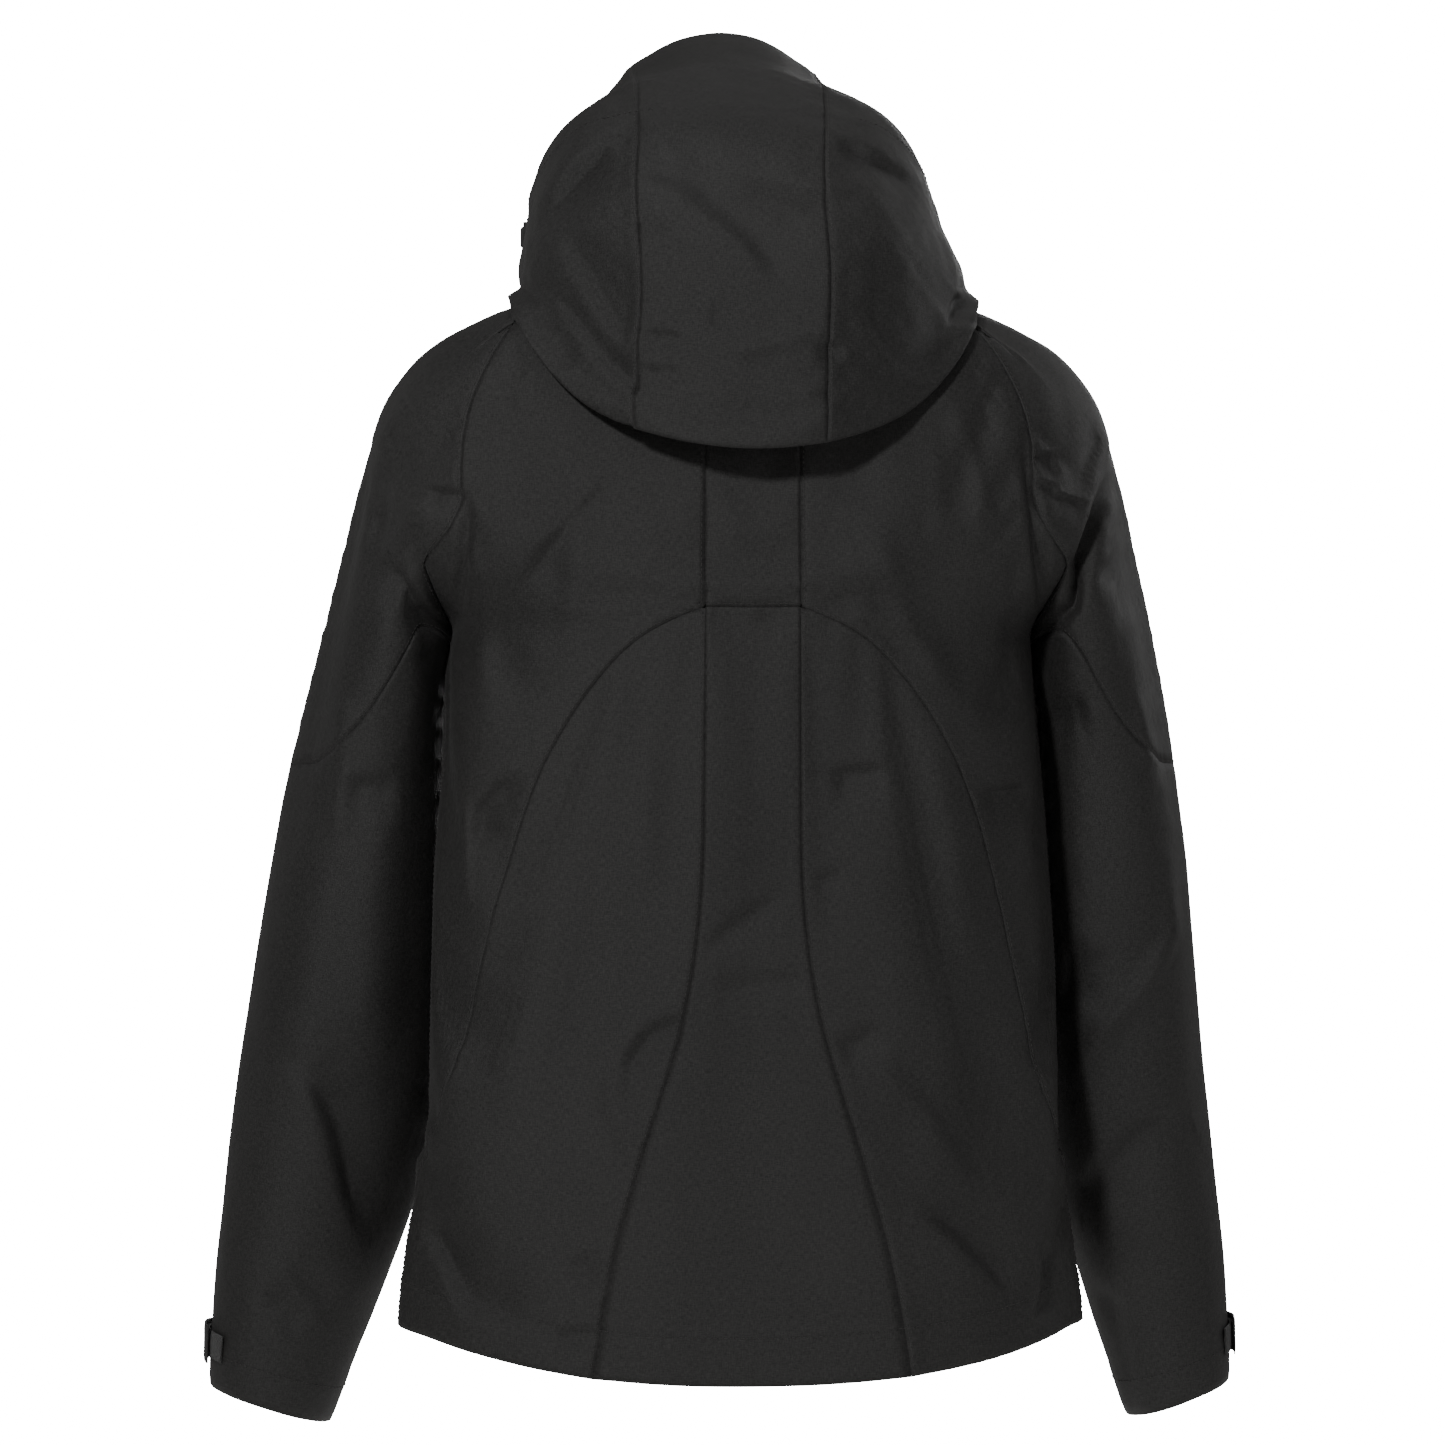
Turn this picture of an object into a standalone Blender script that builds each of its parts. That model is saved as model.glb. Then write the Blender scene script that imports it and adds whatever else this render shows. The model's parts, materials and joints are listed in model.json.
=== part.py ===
"""Hooded hardshell jacket, shown as worn: panels, sleeves, hood, zips, cuff tabs and cord locks.

Units are metres and +Z is up. The wearer faces +Y, so the back of the jacket faces -Y and the wearer's
left is at -X. The shape is worked out in pattern space, where z = 0 is the height of the shoulder line
and y = 0 runs through the arms. The empty "jacket" then moves everything so that the origin is inside
the hang loop.
"""

import math

import bmesh
import bpy
from mathutils import Matrix, Vector

# ---------------------------------------------------------------- driving dimensions
WALL = 0.003  # laminate with its facings
TRIM = 0.0015  # tabs, tapes and facings
SEAM_GAP = 0.0005  # left between two panels, on each side of the seam
ARCH_GAP = 0.0012  # left below the arched seam, which is nearly level at its top
JOINT_GAP = 0.004  # left between the shoulder and the sleeve that swings

HANG_POINT = Vector((0.0, -0.056, 0.060))  # inside the hang loop, in pattern space

HEM_Z = -0.668  # at the side seam
NECK_Z = 0.028  # where the collar starts, before the neck is tilted
HEM_DROP = 0.030  # the back hem hangs this much lower than the sides
NECK_TILT, NECK_TILT_CHANGE = 0.32, 0.10  # metres down for each metre forward, and how much more in front
ARMPIT = (0.196, -0.200)  # x and z of the armhole's lowest point
SHOULDER_TIP = (0.252, -0.078)  # x and z of its highest point
ARMHOLE_DEPTH = 0.080  # half of its depth, front to back
ARMHOLE_POINTED = 1.5  # 1 is an ellipse, and more draws its top and bottom to points
FRONT_HEM_Y = 0.128
FRONT_LEAN = -0.068  # the closed front zip is one straight line, leaning back
FRONT_EDGE = 0.0165  # half of the gap between the front panels, which the zip fills
BACK_ROUND, FRONT_ROUND = 2.4, 2.15  # superellipse exponents of the body's section

COLLAR_HEIGHT = 0.072
ZIP_TAPE = 0.0155  # width of one tape
ZIP_CHAIN = 0.0030  # half of the closed chain's width
POCKET_X, POCKET_TOP, POCKET_BOTTOM = 0.128, -0.400, -0.570

CUFF_FACING = 0.026  # depth of the turned-up cuff
HEM_FACING = 0.030  # depth of the turned-up hem
SLEEVE_COLUMNS = 24

materials = {}


def monotone(*points):
    """A smooth curve through (position, value) points that never overshoots them."""
    at = [p[0] for p in points]
    value = [p[1] for p in points]
    step = [b - a for a, b in zip(at, at[1:])]
    slope = [(b - a) / h for a, b, h in zip(value, value[1:], step)]
    tangent = [slope[0]]
    for left, right in zip(slope, slope[1:]):
        tangent.append(0.0 if left * right <= 0 else 2 * left * right / (left + right))
    tangent.append(slope[-1])

    def read(x):
        x = min(max(x, at[0]), at[-1])
        i = max(k for k in range(len(step)) if at[k] <= x)
        t = (x - at[i]) / step[i]
        rise = value[i + 1] - value[i]
        a = step[i] * tangent[i] - rise
        b = rise - step[i] * tangent[i + 1]
        return value[i] + rise * t + t * (1 - t) * (a * (1 - t) + b * t)

    return read


def blend_step(x, low, high):
    t = min(max((x - low) / (high - low), 0.0), 1.0)
    return t * t * (3 - 2 * t)


# ---------------------------------------------------------------- body of the jacket
BODY_SIDE = monotone(
    (HEM_Z, 0.225), (-0.600, 0.2205), (-0.500, 0.2145), (-0.360, 0.207), (-0.250, 0.200), ARMPIT[::-1]
)
SHOULDER_SIDE = monotone(
    SHOULDER_TIP[::-1], (-0.050, 0.243), (-0.020, 0.2225), (0.0, 0.191), (0.012, 0.163),
    (0.021, 0.130), (NECK_Z, 0.088)
)
BACK_Y = monotone(
    (HEM_Z, -0.128), (-0.500, -0.122), (-0.360, -0.124), (-0.200, -0.131), (-0.120, -0.131),
    (-0.060, -0.121), (-0.020, -0.104), (0.0, -0.093), (0.015, -0.081), (NECK_Z, -0.067)
)
SIDE_Y = monotone((HEM_Z, -0.030), (-0.280, -0.030), (-0.200, 0.0), (NECK_Z, 0.0))

# Seams, as half-widths at a height: the twin centre-back seams, the arched seam and the raglan seams.
TWIN_SEAM = monotone(
    (HEM_Z, 0.1045), (-0.610, 0.0945), (-0.553, 0.0755), (-0.495, 0.0555), (-0.450, 0.0430),
    (-0.405, 0.0360), (-0.345, 0.0320), (NECK_Z, 0.0310)
)
ARCH_TOP, ARCH_FOOT = -0.187, -0.585
ARCH_BEND = -0.500  # below this the arched seam turns towards the side seam
ARCH_SEAM = monotone(
    (ARCH_BEND, 0.1975), (-0.448, 0.1860), (-0.394, 0.1730),
    (-0.350, 0.1610), (-0.301, 0.1440), (-0.258, 0.1205), (-0.226, 0.0955), (-0.200, 0.0640),
    (ARCH_TOP, 0.0310)
)
BACK_RAGLAN = monotone(
    (-0.175, 0.230), (-0.143, 0.2000), (-0.119, 0.1900), (-0.090, 0.1895), (-0.060, 0.1850),
    (-0.003, 0.1480), (NECK_Z, 0.070)
)
FRONT_RAGLAN = monotone(
    (-0.175, 0.230), (-0.143, 0.2000), (-0.110, 0.1860), (-0.060, 0.1700), (-0.003, 0.1300), (NECK_Z, 0.060)
)
RAGLAN_FOOT = -0.156  # where the raglan seams reach the armhole


def raglan_rows():
    return [RAGLAN_FOOT + (NECK_Z - RAGLAN_FOOT) * i / 10 for i in range(11)]


def neck_weight(height):
    return blend_step(height, -0.060, NECK_Z)


def armhole_reach(height):
    """Half of the armhole's depth at this height, and 0 above and below it."""
    middle = (ARMPIT[1] + SHOULDER_TIP[1]) / 2
    half = (SHOULDER_TIP[1] - ARMPIT[1]) / 2
    share = min(abs(height - middle) / half, 1.0)
    return ARMHOLE_DEPTH * (1 - share * share) ** (ARMHOLE_POINTED / 2)


def side_x(height):
    if height <= ARMPIT[1]:
        return BODY_SIDE(height)
    if height >= SHOULDER_TIP[1]:
        return SHOULDER_SIDE(height)
    share = (height - ARMPIT[1]) / (SHOULDER_TIP[1] - ARMPIT[1])
    return ARMPIT[0] + share * (SHOULDER_TIP[0] - ARMPIT[0])


def neck_drop(height, y):
    """How much the tilt of the neck lowers a point."""
    return y * (NECK_TILT + NECK_TILT_CHANGE * y / math.hypot(y, 0.03)) * neck_weight(height)


def front_y(height):
    """Y of the front zip line, which is straight once the neck has been tilted."""
    y = FRONT_HEM_Y
    for _ in range(6):
        y = FRONT_HEM_Y + FRONT_LEAN * (height - neck_drop(height, y) - HEM_Z)
    return y


def section(height, front):
    """The half-section at a height: its full half-width, its depth and its exponent."""
    power = FRONT_ROUND if front else BACK_ROUND
    depth = front_y(height) - SIDE_Y(height) if front else SIDE_Y(height) - BACK_Y(height)
    reach = armhole_reach(height)
    width = side_x(height) / (1 - (reach / depth) ** power) ** (1 / power)
    return width, depth, power


def angle_at(height, x, front=False):
    """The chart angle, in degrees from the centre back, of a half-width x at this height."""
    width, _, power = section(height, front)
    turn = math.degrees(math.asin(min((x / width) ** (power / 2), 1.0)))
    return 180 - turn if front else turn


def armhole_angle(height, front=False):
    return angle_at(height, side_x(height), front)


def arch_angle(height, drop=0.0):
    """The arched seam's chart angle, for the seam itself or for a line a little below it."""
    if height <= ARCH_FOOT:
        return 90.0
    if height < ARCH_BEND:
        start = angle_at(ARCH_BEND, ARCH_SEAM(ARCH_BEND))
        share = (ARCH_BEND - height) / (ARCH_BEND - ARCH_FOOT)
        return start + (90 - start) * share
    return angle_at(height, ARCH_SEAM(height + drop))


def raglan_angle(height, front=False):
    """The raglan seam's chart angle, straight between the rows that the panels beside it share."""
    rows = raglan_rows()
    height = min(max(height, rows[0]), rows[-1])
    i = max(k for k in range(len(rows) - 1) if rows[k] <= height)
    seam = FRONT_RAGLAN if front else BACK_RAGLAN
    ends = [
        armhole_angle(z, front) if z == RAGLAN_FOOT else angle_at(z, seam(z), front) for z in rows[i : i + 2]
    ]
    share = (height - rows[i]) / (rows[i + 1] - rows[i])
    return ends[0] + (ends[1] - ends[0]) * share


def body_point(height, angle):
    """A point of the body's outer surface. Angle 0 is the centre back, 90 the right side, 180 the front."""
    side = -1 if angle < 0 else 1
    turn = abs(angle)
    front = turn > 90
    width, depth, power = section(height, front)
    turn = math.radians(180 - turn if front else turn)
    x = width * math.sin(turn) ** (2 / power)
    y = depth * max(math.cos(turn), 0.0) ** (2 / power)
    y = SIDE_Y(height) + (y if front else -y)
    drop = 0.0 if front else HEM_DROP * max(0.0, 1 - (x / side_x(HEM_Z)) ** 2)
    drop *= 1 - blend_step(height, HEM_Z, HEM_Z + 0.16)
    z = height - drop - neck_drop(height, y)
    return Vector((side * x, y, z))


# ---------------------------------------------------------------- sleeves
# Along the sleeve, from the armhole to the cuff: the outer edge and the inner edge as the wearer's arm
# hangs, half of the depth, and how far forward the arm has come.
SLEEVE_OUTER_X = monotone(
    (0.0, SHOULDER_TIP[0]), (0.12, 0.2710), (0.25, 0.2925), (0.40, 0.3135), (0.60, 0.3310), (0.80, 0.3475),
    (0.93, 0.3550), (1.0, 0.3560)
)
SLEEVE_OUTER_Z = monotone(
    (0.0, SHOULDER_TIP[1]), (0.12, -0.140), (0.25, -0.228), (0.40, -0.335), (0.60, -0.466), (0.80, -0.594),
    (0.93, -0.674), (1.0, -0.7150)
)
SLEEVE_INNER_X = monotone(
    (0.0, ARMPIT[0]), (0.12, 0.2020), (0.25, 0.2035), (0.40, 0.2060), (0.60, 0.2110), (0.80, 0.2350),
    (0.93, 0.2640), (1.0, 0.2790)
)
SLEEVE_INNER_Z = monotone(
    (0.0, ARMPIT[1]), (0.12, -0.245), (0.25, -0.302), (0.40, -0.378), (0.60, -0.491), (0.80, -0.616),
    (0.93, -0.702), (1.0, -0.7430)
)
SLEEVE_DEPTH = monotone((0.0, ARMHOLE_DEPTH), (0.25, 0.078), (0.60, 0.072), (0.85, 0.062), (1.0, 0.055))
SLEEVE_FORWARD = monotone((0.0, 0.0), (0.12, 0.016), (0.30, 0.038), (0.60, 0.056), (1.0, 0.080))
SLEEVE_ROUND = 2.2
# The sleeves don't hang quite alike: the left one hangs fuller, outside and against the body.
LEFT_FULLER, RIGHT_SLIMMER = 0.0075, 0.0060
LEFT_TUCK = monotone(
    (0.0, 0.0), (0.1, 0.0), (0.25, 0.007), (0.45, 0.0115), (0.65, 0.0135), (0.85, 0.004), (1.0, 0.0)
)
# How far along the sleeve the seam above the elbow lies, at an angle from the sleeve's outer edge.
BICEP_SEAM = monotone(
    (0, 0.340), (45, 0.325), (67, 0.295), (91, 0.215), (112, 0.105), (130, 0.050), (180, 0.032)
)


def sleeve_point(along, angle, side):
    """A point of a sleeve. Angle 0 is the outer edge, 90 the back of the arm, 180 the inner edge."""
    outer = Vector((SLEEVE_OUTER_X(along), 0, SLEEVE_OUTER_Z(along)))
    inner = Vector((SLEEVE_INNER_X(along), 0, SLEEVE_INNER_Z(along)))
    outer.x += (LEFT_FULLER if side < 0 else -RIGHT_SLIMMER) * blend_step(along, 0.25, 0.8)
    turn = math.radians(angle)
    out = blend_step(along, 0.0, 0.3)
    across = math.copysign(abs(math.cos(turn)) ** (1 + (2 / SLEEVE_ROUND - 1) * out), math.cos(turn))
    pointed = ARMHOLE_POINTED + (2 / SLEEVE_ROUND - ARMHOLE_POINTED) * out
    deep = math.copysign(abs(math.sin(turn)) ** pointed, math.sin(turn))
    point = (outer + inner) / 2 + (outer - inner) / 2 * across
    point.x -= LEFT_TUCK(along) * max(-across, 0.0) ** 3 if side < 0 else 0.0
    point.y = SLEEVE_FORWARD(along) - SLEEVE_DEPTH(along) * deep
    point.x *= side
    return point


def bicep_seam(angle):
    return BICEP_SEAM(min(angle % 360, 360 - angle % 360))


# ---------------------------------------------------------------- hood
# Like the ribs of a pram hood, from the face opening (0) over the crown to the bag at the nape (1): where
# each rib's two feet stand, where its top is, its half-width, its roundness and how far its feet pull in.
RIB_FOOT_Y = monotone((0.0, 0.092), (0.2, 0.070), (0.4, 0.048), (0.6, 0.022), (0.8, 0.002), (1.0, -0.020))
RIB_FOOT_Z = monotone((0.0, 0.000), (0.2, 0.012), (0.4, 0.021), (0.6, 0.023), (0.8, 0.021), (1.0, 0.019))
RIB_TOP_Y = monotone((0.0, 0.082), (0.12, 0.040), (0.3, -0.030), (0.5, -0.104), (0.7, -0.148), (1.0, -0.160))
RIB_TOP_Z = monotone((0.0, 0.218), (0.12, 0.199), (0.3, 0.170), (0.5, 0.128), (0.7, 0.046), (1.0, -0.086))
RIB_WIDTH = monotone((0.0, 0.130), (0.2, 0.138), (0.35, 0.144), (0.6, 0.146), (0.8, 0.150), (1.0, 0.157))
RIB_ROUND = monotone((0.0, 2.0), (0.2, 2.4), (0.32, 3.25), (0.5, 3.1), (0.7, 2.7), (1.0, 2.0))
RIB_PINCH = monotone((0.0, 0.42), (0.3, 0.16), (0.6, 0.0), (1.0, 0.0))
HOOD_SEAM_X = 0.0625  # half-width of the hood's centre panel
HOOD_SEAM_DRIFT = -0.016  # the centre panel wanders to the left towards the nape
HOOD_LEAN = -0.0070  # the top of the hood leans this far to the left
HOOD_LEAN_LOW, HOOD_LEAN_HIGH = 0.015, 0.100  # the heights between which it leans
VISOR_SEAM = 0.42  # the visor's facing ends here, counted along the hood
HOOD_CLEARANCE = 0.008  # from the hood's outer surface to the back's


def inside_body(point):
    """Whether a point is inside the body's outer surface, below the neck."""
    height = point.z
    for _ in range(4):
        height = point.z + neck_drop(height, point.y)
    side_y = SIDE_Y(height)
    width, depth, power = section(min(height, NECK_Z), point.y > side_y)
    return height < NECK_Z and (abs(point.x) / width) ** power + (abs(point.y - side_y) / depth) ** power < 1


def rest_on_body(point):
    """Moves a point of the hood outwards until it is clear of the shoulders and the back."""
    centre = Vector((0.75 * point.x, 0.0, -0.12))
    ray = (point - centre).normalized()
    low, high = 0.0, 0.4
    for _ in range(14):
        middle = (low + high) / 2
        if inside_body(centre + ray * middle):
            low = middle
        else:
            high = middle
    return centre + ray * max((point - centre).length, low + HOOD_CLEARANCE)


def hood_point(along, angle):
    """A point of the hood. Angle -90 is the left foot of a rib, 0 its top and 90 its right foot."""
    foot = Vector((0, RIB_FOOT_Y(along), RIB_FOOT_Z(along)))
    top = Vector((0, RIB_TOP_Y(along), RIB_TOP_Z(along)))
    turn = math.radians(min(abs(angle), 90.0))
    power = RIB_ROUND(along)
    rise = max(math.cos(turn), 0.0) ** (2 / power)
    x = RIB_WIDTH(along) * math.sin(turn) ** (2 / power)
    x *= 1 - RIB_PINCH(along) * (1 - rise) ** 2
    point = foot + (top - foot) * rise
    point.x = math.copysign(x, angle)
    point = rest_on_body(point)
    point.x += HOOD_LEAN * blend_step(point.z, HOOD_LEAN_LOW, HOOD_LEAN_HIGH)
    return point


def hood_seam_angle(along, side):
    """The angle of the seam beside the hood's centre panel."""
    x = side * HOOD_SEAM_X + HOOD_SEAM_DRIFT * blend_step(along, 0.2, 1.0)
    turn = math.asin((abs(x) / RIB_WIDTH(along)) ** (RIB_ROUND(along) / 2))
    return side * math.degrees(turn)


# ---------------------------------------------------------------- building solids
def clear_scene():
    for old in list(bpy.data.objects):
        bpy.data.objects.remove(old)


def material(name, colour, roughness, metallic=0.0):
    made = bpy.data.materials.new(name)
    made.use_nodes = True
    shader = made.node_tree.nodes["Principled BSDF"]
    shader.inputs["Base Color"].default_value = (*colour, 1)
    shader.inputs["Roughness"].default_value = roughness
    shader.inputs["Metallic"].default_value = metallic
    materials[name] = made


def finish_object(name, mesh, slot, smooth=True):
    """Recalculates the normals outwards, adds the material and hangs the object on the jacket."""
    work = bmesh.new()
    work.from_mesh(mesh)
    bmesh.ops.recalc_face_normals(work, faces=work.faces)
    if work.calc_volume(signed=True) < 0:
        bmesh.ops.reverse_faces(work, faces=work.faces)
    work.to_mesh(mesh)
    work.free()
    if smooth:
        mesh.shade_smooth()
        mesh.set_sharp_from_angle(angle=math.radians(35))
    mesh.materials.append(materials[slot])
    made = bpy.data.objects.new(name, mesh)
    bpy.context.scene.collection.objects.link(made)
    made.parent = bpy.data.objects["jacket"]
    return made


def surface_normal(surface, u, v, sign):
    """The unit normal of a surface of two parameters, by small differences."""
    across = surface(u, v + 0.4) - surface(u, v - 0.4)
    along = surface(u + 0.0015, v) - surface(u - 0.0015, v)
    return (across.cross(along) * sign).normalized()


def sheet(name, places, surface, slot, sign=1, wall=WALL, lift=0.0, closed=False):
    """A curved sheet as one closed solid. places holds rows of the surface's two parameters, sign turns its
    normals outwards, lift moves the sheet outwards, and closed joins the last column to the first."""
    rows, columns = len(places), len(places[0])
    points = [[surface(u, v) for u, v in row] for row in places]
    normals = [[surface_normal(surface, u, v, sign) for u, v in row] for row in places]
    work = bmesh.new()
    outer, inner = (
        [[work.verts.new(p + n * offset) for p, n in zip(*pair)] for pair in zip(points, normals)]
        for offset in (lift, lift - wall)
    )
    steps = columns if closed else columns - 1
    for i in range(rows - 1):
        for j in range(steps):
            k = (j + 1) % columns
            work.faces.new((outer[i][j], outer[i][k], outer[i + 1][k], outer[i + 1][j]))
            work.faces.new((inner[i][j], inner[i + 1][j], inner[i + 1][k], inner[i][k]))
    for i, j, k in ((i, j, (j + 1) % columns) for i in (0, rows - 1) for j in range(steps)):
        work.faces.new((outer[i][j], inner[i][j], inner[i][k], outer[i][k]))
    if not closed:
        for i, j in ((i, j) for j in (0, columns - 1) for i in range(rows - 1)):
            work.faces.new((outer[i][j], outer[i + 1][j], inner[i + 1][j], inner[i][j]))
    mesh = bpy.data.meshes.new(name)
    work.to_mesh(mesh)
    work.free()
    return finish_object(name, mesh, slot)


def spread(start, end, count):
    return [start + (end - start) * i / (count - 1) for i in range(count)]


def body_panel(name, heights, left, right, columns, front=False):
    """A panel between two seams. left and right give the seams' chart angles at a height."""
    places = []
    for height in heights:
        width, depth, _ = section(height, front)
        gap = math.degrees(SEAM_GAP / max(width, depth))
        ends = left(height) + gap, right(height) - gap
        places.append([(height, angle) for angle in spread(*ends, columns)])
    return sheet(name, places, body_point, "shell")


def box(name, low, high, slot, bevel=0.0):
    """A box between two corners, with its edges rounded."""
    low, high = Vector(low), Vector(high)
    work = bmesh.new()
    bmesh.ops.create_cube(work, size=1.0)
    bmesh.ops.scale(work, vec=high - low, verts=work.verts)
    bmesh.ops.translate(work, vec=(low + high) / 2, verts=work.verts)
    if bevel:
        bmesh.ops.bevel(work, geom=work.edges[:], offset=bevel, segments=2, affect="EDGES", profile=0.5)
    mesh = bpy.data.meshes.new(name)
    work.to_mesh(mesh)
    work.free()
    return finish_object(name, mesh, slot)


def cutter(name, radius, length, direction, place, sides=20):
    """A round cutter or pin on an axis, hidden from the model."""
    work = bmesh.new()
    bmesh.ops.create_cone(
        work, cap_ends=True, segments=sides, radius1=radius, radius2=radius, depth=length
    )
    turn = Vector((0, 0, 1)).rotation_difference(Vector(direction)).to_matrix().to_4x4()
    bmesh.ops.transform(work, matrix=Matrix.Translation(place) @ turn, verts=work.verts)
    mesh = bpy.data.meshes.new(name)
    work.to_mesh(mesh)
    work.free()
    made = bpy.data.objects.new(name, mesh)
    bpy.context.scene.collection.objects.link(made)
    made.parent = bpy.data.objects["jacket"]
    made.hide_render = True
    made.display_type = "WIRE"
    return made


def combine(target, other, operation):
    step = target.modifiers.new(other.name, "BOOLEAN")
    step.operation = operation
    step.object = other


# ---------------------------------------------------------------- the jacket's parts
def body_rows():
    """Heights that neighbouring panels share, so that their edges follow each other."""
    reach = ARCH_TOP - ARCH_FOOT
    arch_rows = [ARCH_TOP - reach * share**1.7 for share in spread(0.996, 0.03, 17)]
    upper_rows = spread(ARCH_TOP, RAGLAN_FOOT, 3)[:-1] + raglan_rows()
    return spread(HEM_Z, ARCH_FOOT, 4), arch_rows, upper_rows


def back_panels():
    def twin(height):
        return angle_at(height, TWIN_SEAM(height))

    def below_arch(height):
        return arch_angle(height, ARCH_GAP)

    def outer(height):
        return raglan_angle(height) if height >= RAGLAN_FOOT else armhole_angle(height)

    def inner(height):
        return twin(height) if height > ARCH_TOP else arch_angle(height)

    lower_rows, arch_rows, upper_rows = body_rows()
    body_panel("back_upper_centre", upper_rows, lambda h: -twin(h), twin, 4)
    rows = lower_rows + arch_rows + [ARCH_TOP - ARCH_GAP]
    body_panel("back_lower_centre", rows, lambda h: -twin(h), twin, 4)
    rows = arch_rows + upper_rows
    body_panel("back_upper_right", rows, inner, outer, 8)
    body_panel("back_upper_left", rows, lambda h: -outer(h), lambda h: -inner(h), 8)
    rows = lower_rows + arch_rows
    body_panel("back_lower_right", rows, twin, below_arch, 8)
    body_panel("back_lower_left", rows, lambda h: -below_arch(h), lambda h: -twin(h), 8)


def front_panels():
    def outer(height):
        return raglan_angle(height, True) if height >= RAGLAN_FOOT else armhole_angle(height, True)

    def inner(height):
        return angle_at(height, FRONT_EDGE, True)

    rows = sum(body_rows(), [])
    body_panel("front_right", rows, outer, inner, 10, front=True)
    body_panel("front_left", rows, lambda h: -inner(h), lambda h: -outer(h), 10, front=True)


def shoulder_places(side, rows=6):
    """Rows run from the armhole out to the raglan seams, and columns over the shoulder, back to front."""
    middle = (ARMPIT[1] + SHOULDER_TIP[1]) / 2
    half = (SHOULDER_TIP[1] - ARMPIT[1]) / 2
    start = math.acos((RAGLAN_FOOT - middle) / half)
    steps = raglan_rows()
    seam = [(steps[0] + (steps[1] - steps[0]) * 0.06, 0.0)] + [(z, 0.0) for z in steps[1:]]
    half_way = seam + [(NECK_Z, 0.4), (NECK_Z, 0.8)]  # a height, and how far along the neck to its side
    gap = math.degrees(3 * SEAM_GAP / 0.1)
    places = [[] for _ in range(rows)]
    for front, columns in ((False, half_way), (True, half_way[::-1])):
        for seam_z, climb in columns:
            place_share = (half_way.index((seam_z, climb)) + 0.35) / len(half_way)
            ring_z = middle + half * math.cos(start * (1 - place_share))
            ring_angle = armhole_angle(ring_z, front)
            seam_angle = raglan_angle(seam_z, front) + (-gap if front else gap)
            seam_angle += (90 - seam_angle) * climb
            for i, out in enumerate(spread(0.0, 1.0, rows)):
                height = ring_z + (seam_z - ring_z) * out
                angle = ring_angle + (seam_angle - ring_angle) * out
                limit = armhole_angle(height, front)
                angle = max(angle, limit) if front else min(angle, limit)
                places[i].append((height, side * angle))
    return places


def shoulders():
    for word, side in (("left", -1), ("right", 1)):
        places = shoulder_places(side)
        sheet(f"shoulder_{word}", places, body_point, "shell")


def sleeve_surface(side):
    return lambda along, angle: sleeve_point(along, angle, side)


def sleeve_places(start, end, rows):
    """Rings of a sleeve from start to end, which may differ from angle to angle."""
    angles = [360 * j / SLEEVE_COLUMNS for j in range(SLEEVE_COLUMNS)]
    return [[(start(a) + (end(a) - start(a)) * share, a) for a in angles] for share in spread(0.0, 1.0, rows)]


def sleeves():
    gap = JOINT_GAP / 0.62
    seam = SEAM_GAP / 0.62
    facing = 1 - CUFF_FACING / 0.62
    for word, side in (("left", -1), ("right", 1)):
        surface = sleeve_surface(side)
        places = sleeve_places(lambda a: gap, lambda a: bicep_seam(a) - seam, 5)
        sheet(f"sleeve_upper_{word}", places, surface, "shell", side, closed=True)
        places = sleeve_places(lambda a: bicep_seam(a) + seam, lambda a: 1.0, 11)
        sheet(f"sleeve_lower_{word}", places, surface, "shell", side, closed=True)
        places = sleeve_places(lambda a: facing, lambda a: 0.998, 3)
        lift = -WALL - SEAM_GAP
        sheet(f"cuff_facing_{word}", places, surface, "facing", side, TRIM, lift, closed=True)


CUFF_TAB_START, CUFF_TAB_END = 0.928, 0.972  # the tab's two long edges, along the sleeve
TAB_ROOT, TAB_TIP = -78.0, 22.0  # it is sewn down on the front of the wrist and reaches round the outside


def cuff_strip(name, side, angles, lift, slot, edges, columns=9):
    places = [[(along, a) for a in spread(*angles, columns)] for along in spread(*edges, 3)]
    return sheet(name, places, sleeve_surface(side), slot, side, TRIM * 0.7, lift)


def cuff_tabs():
    edges = CUFF_TAB_START, CUFF_TAB_END
    inset = CUFF_TAB_START + 0.006, CUFF_TAB_END - 0.006
    for word, side in (("left", -1), ("right", 1)):
        cuff_strip(f"cuff_loop_{word}", side, (-45.0, 40.0), 0.0014, "hook_loop", inset)
        cuff_strip(f"cuff_hook_{word}", side, (-30.0, 20.0), 0.0028, "hook_loop", inset)
        cuff_strip(f"cuff_tab_{word}", side, (TAB_ROOT, TAB_TIP), 0.0043, "shell", edges, columns=12)


def hem_parts():
    """The turned-up hem inside the body, open at the front zip."""
    places = []
    for height in spread(HEM_Z + 0.001, HEM_Z + HEM_FACING, 3):
        edge = angle_at(height, FRONT_EDGE, True)
        places.append([(height, angle) for angle in spread(-edge, edge, 49)])
    sheet("hem_facing", places, body_point, "facing", 1, TRIM, -WALL - 2 * SEAM_GAP)


def collar_point(rise, angle):
    return body_point(NECK_Z, angle) + Vector((0, FRONT_LEAN * rise, rise))


def collar():
    """A stand-up collar on the neck ring, open at the front zip."""
    edge = angle_at(NECK_Z, FRONT_EDGE, True)
    angles = spread(-edge, edge, 33)
    places = [[(rise, angle) for angle in angles] for rise in spread(0.0006, COLLAR_HEIGHT, 5)]
    sheet("collar", places, collar_point, "shell")


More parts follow.
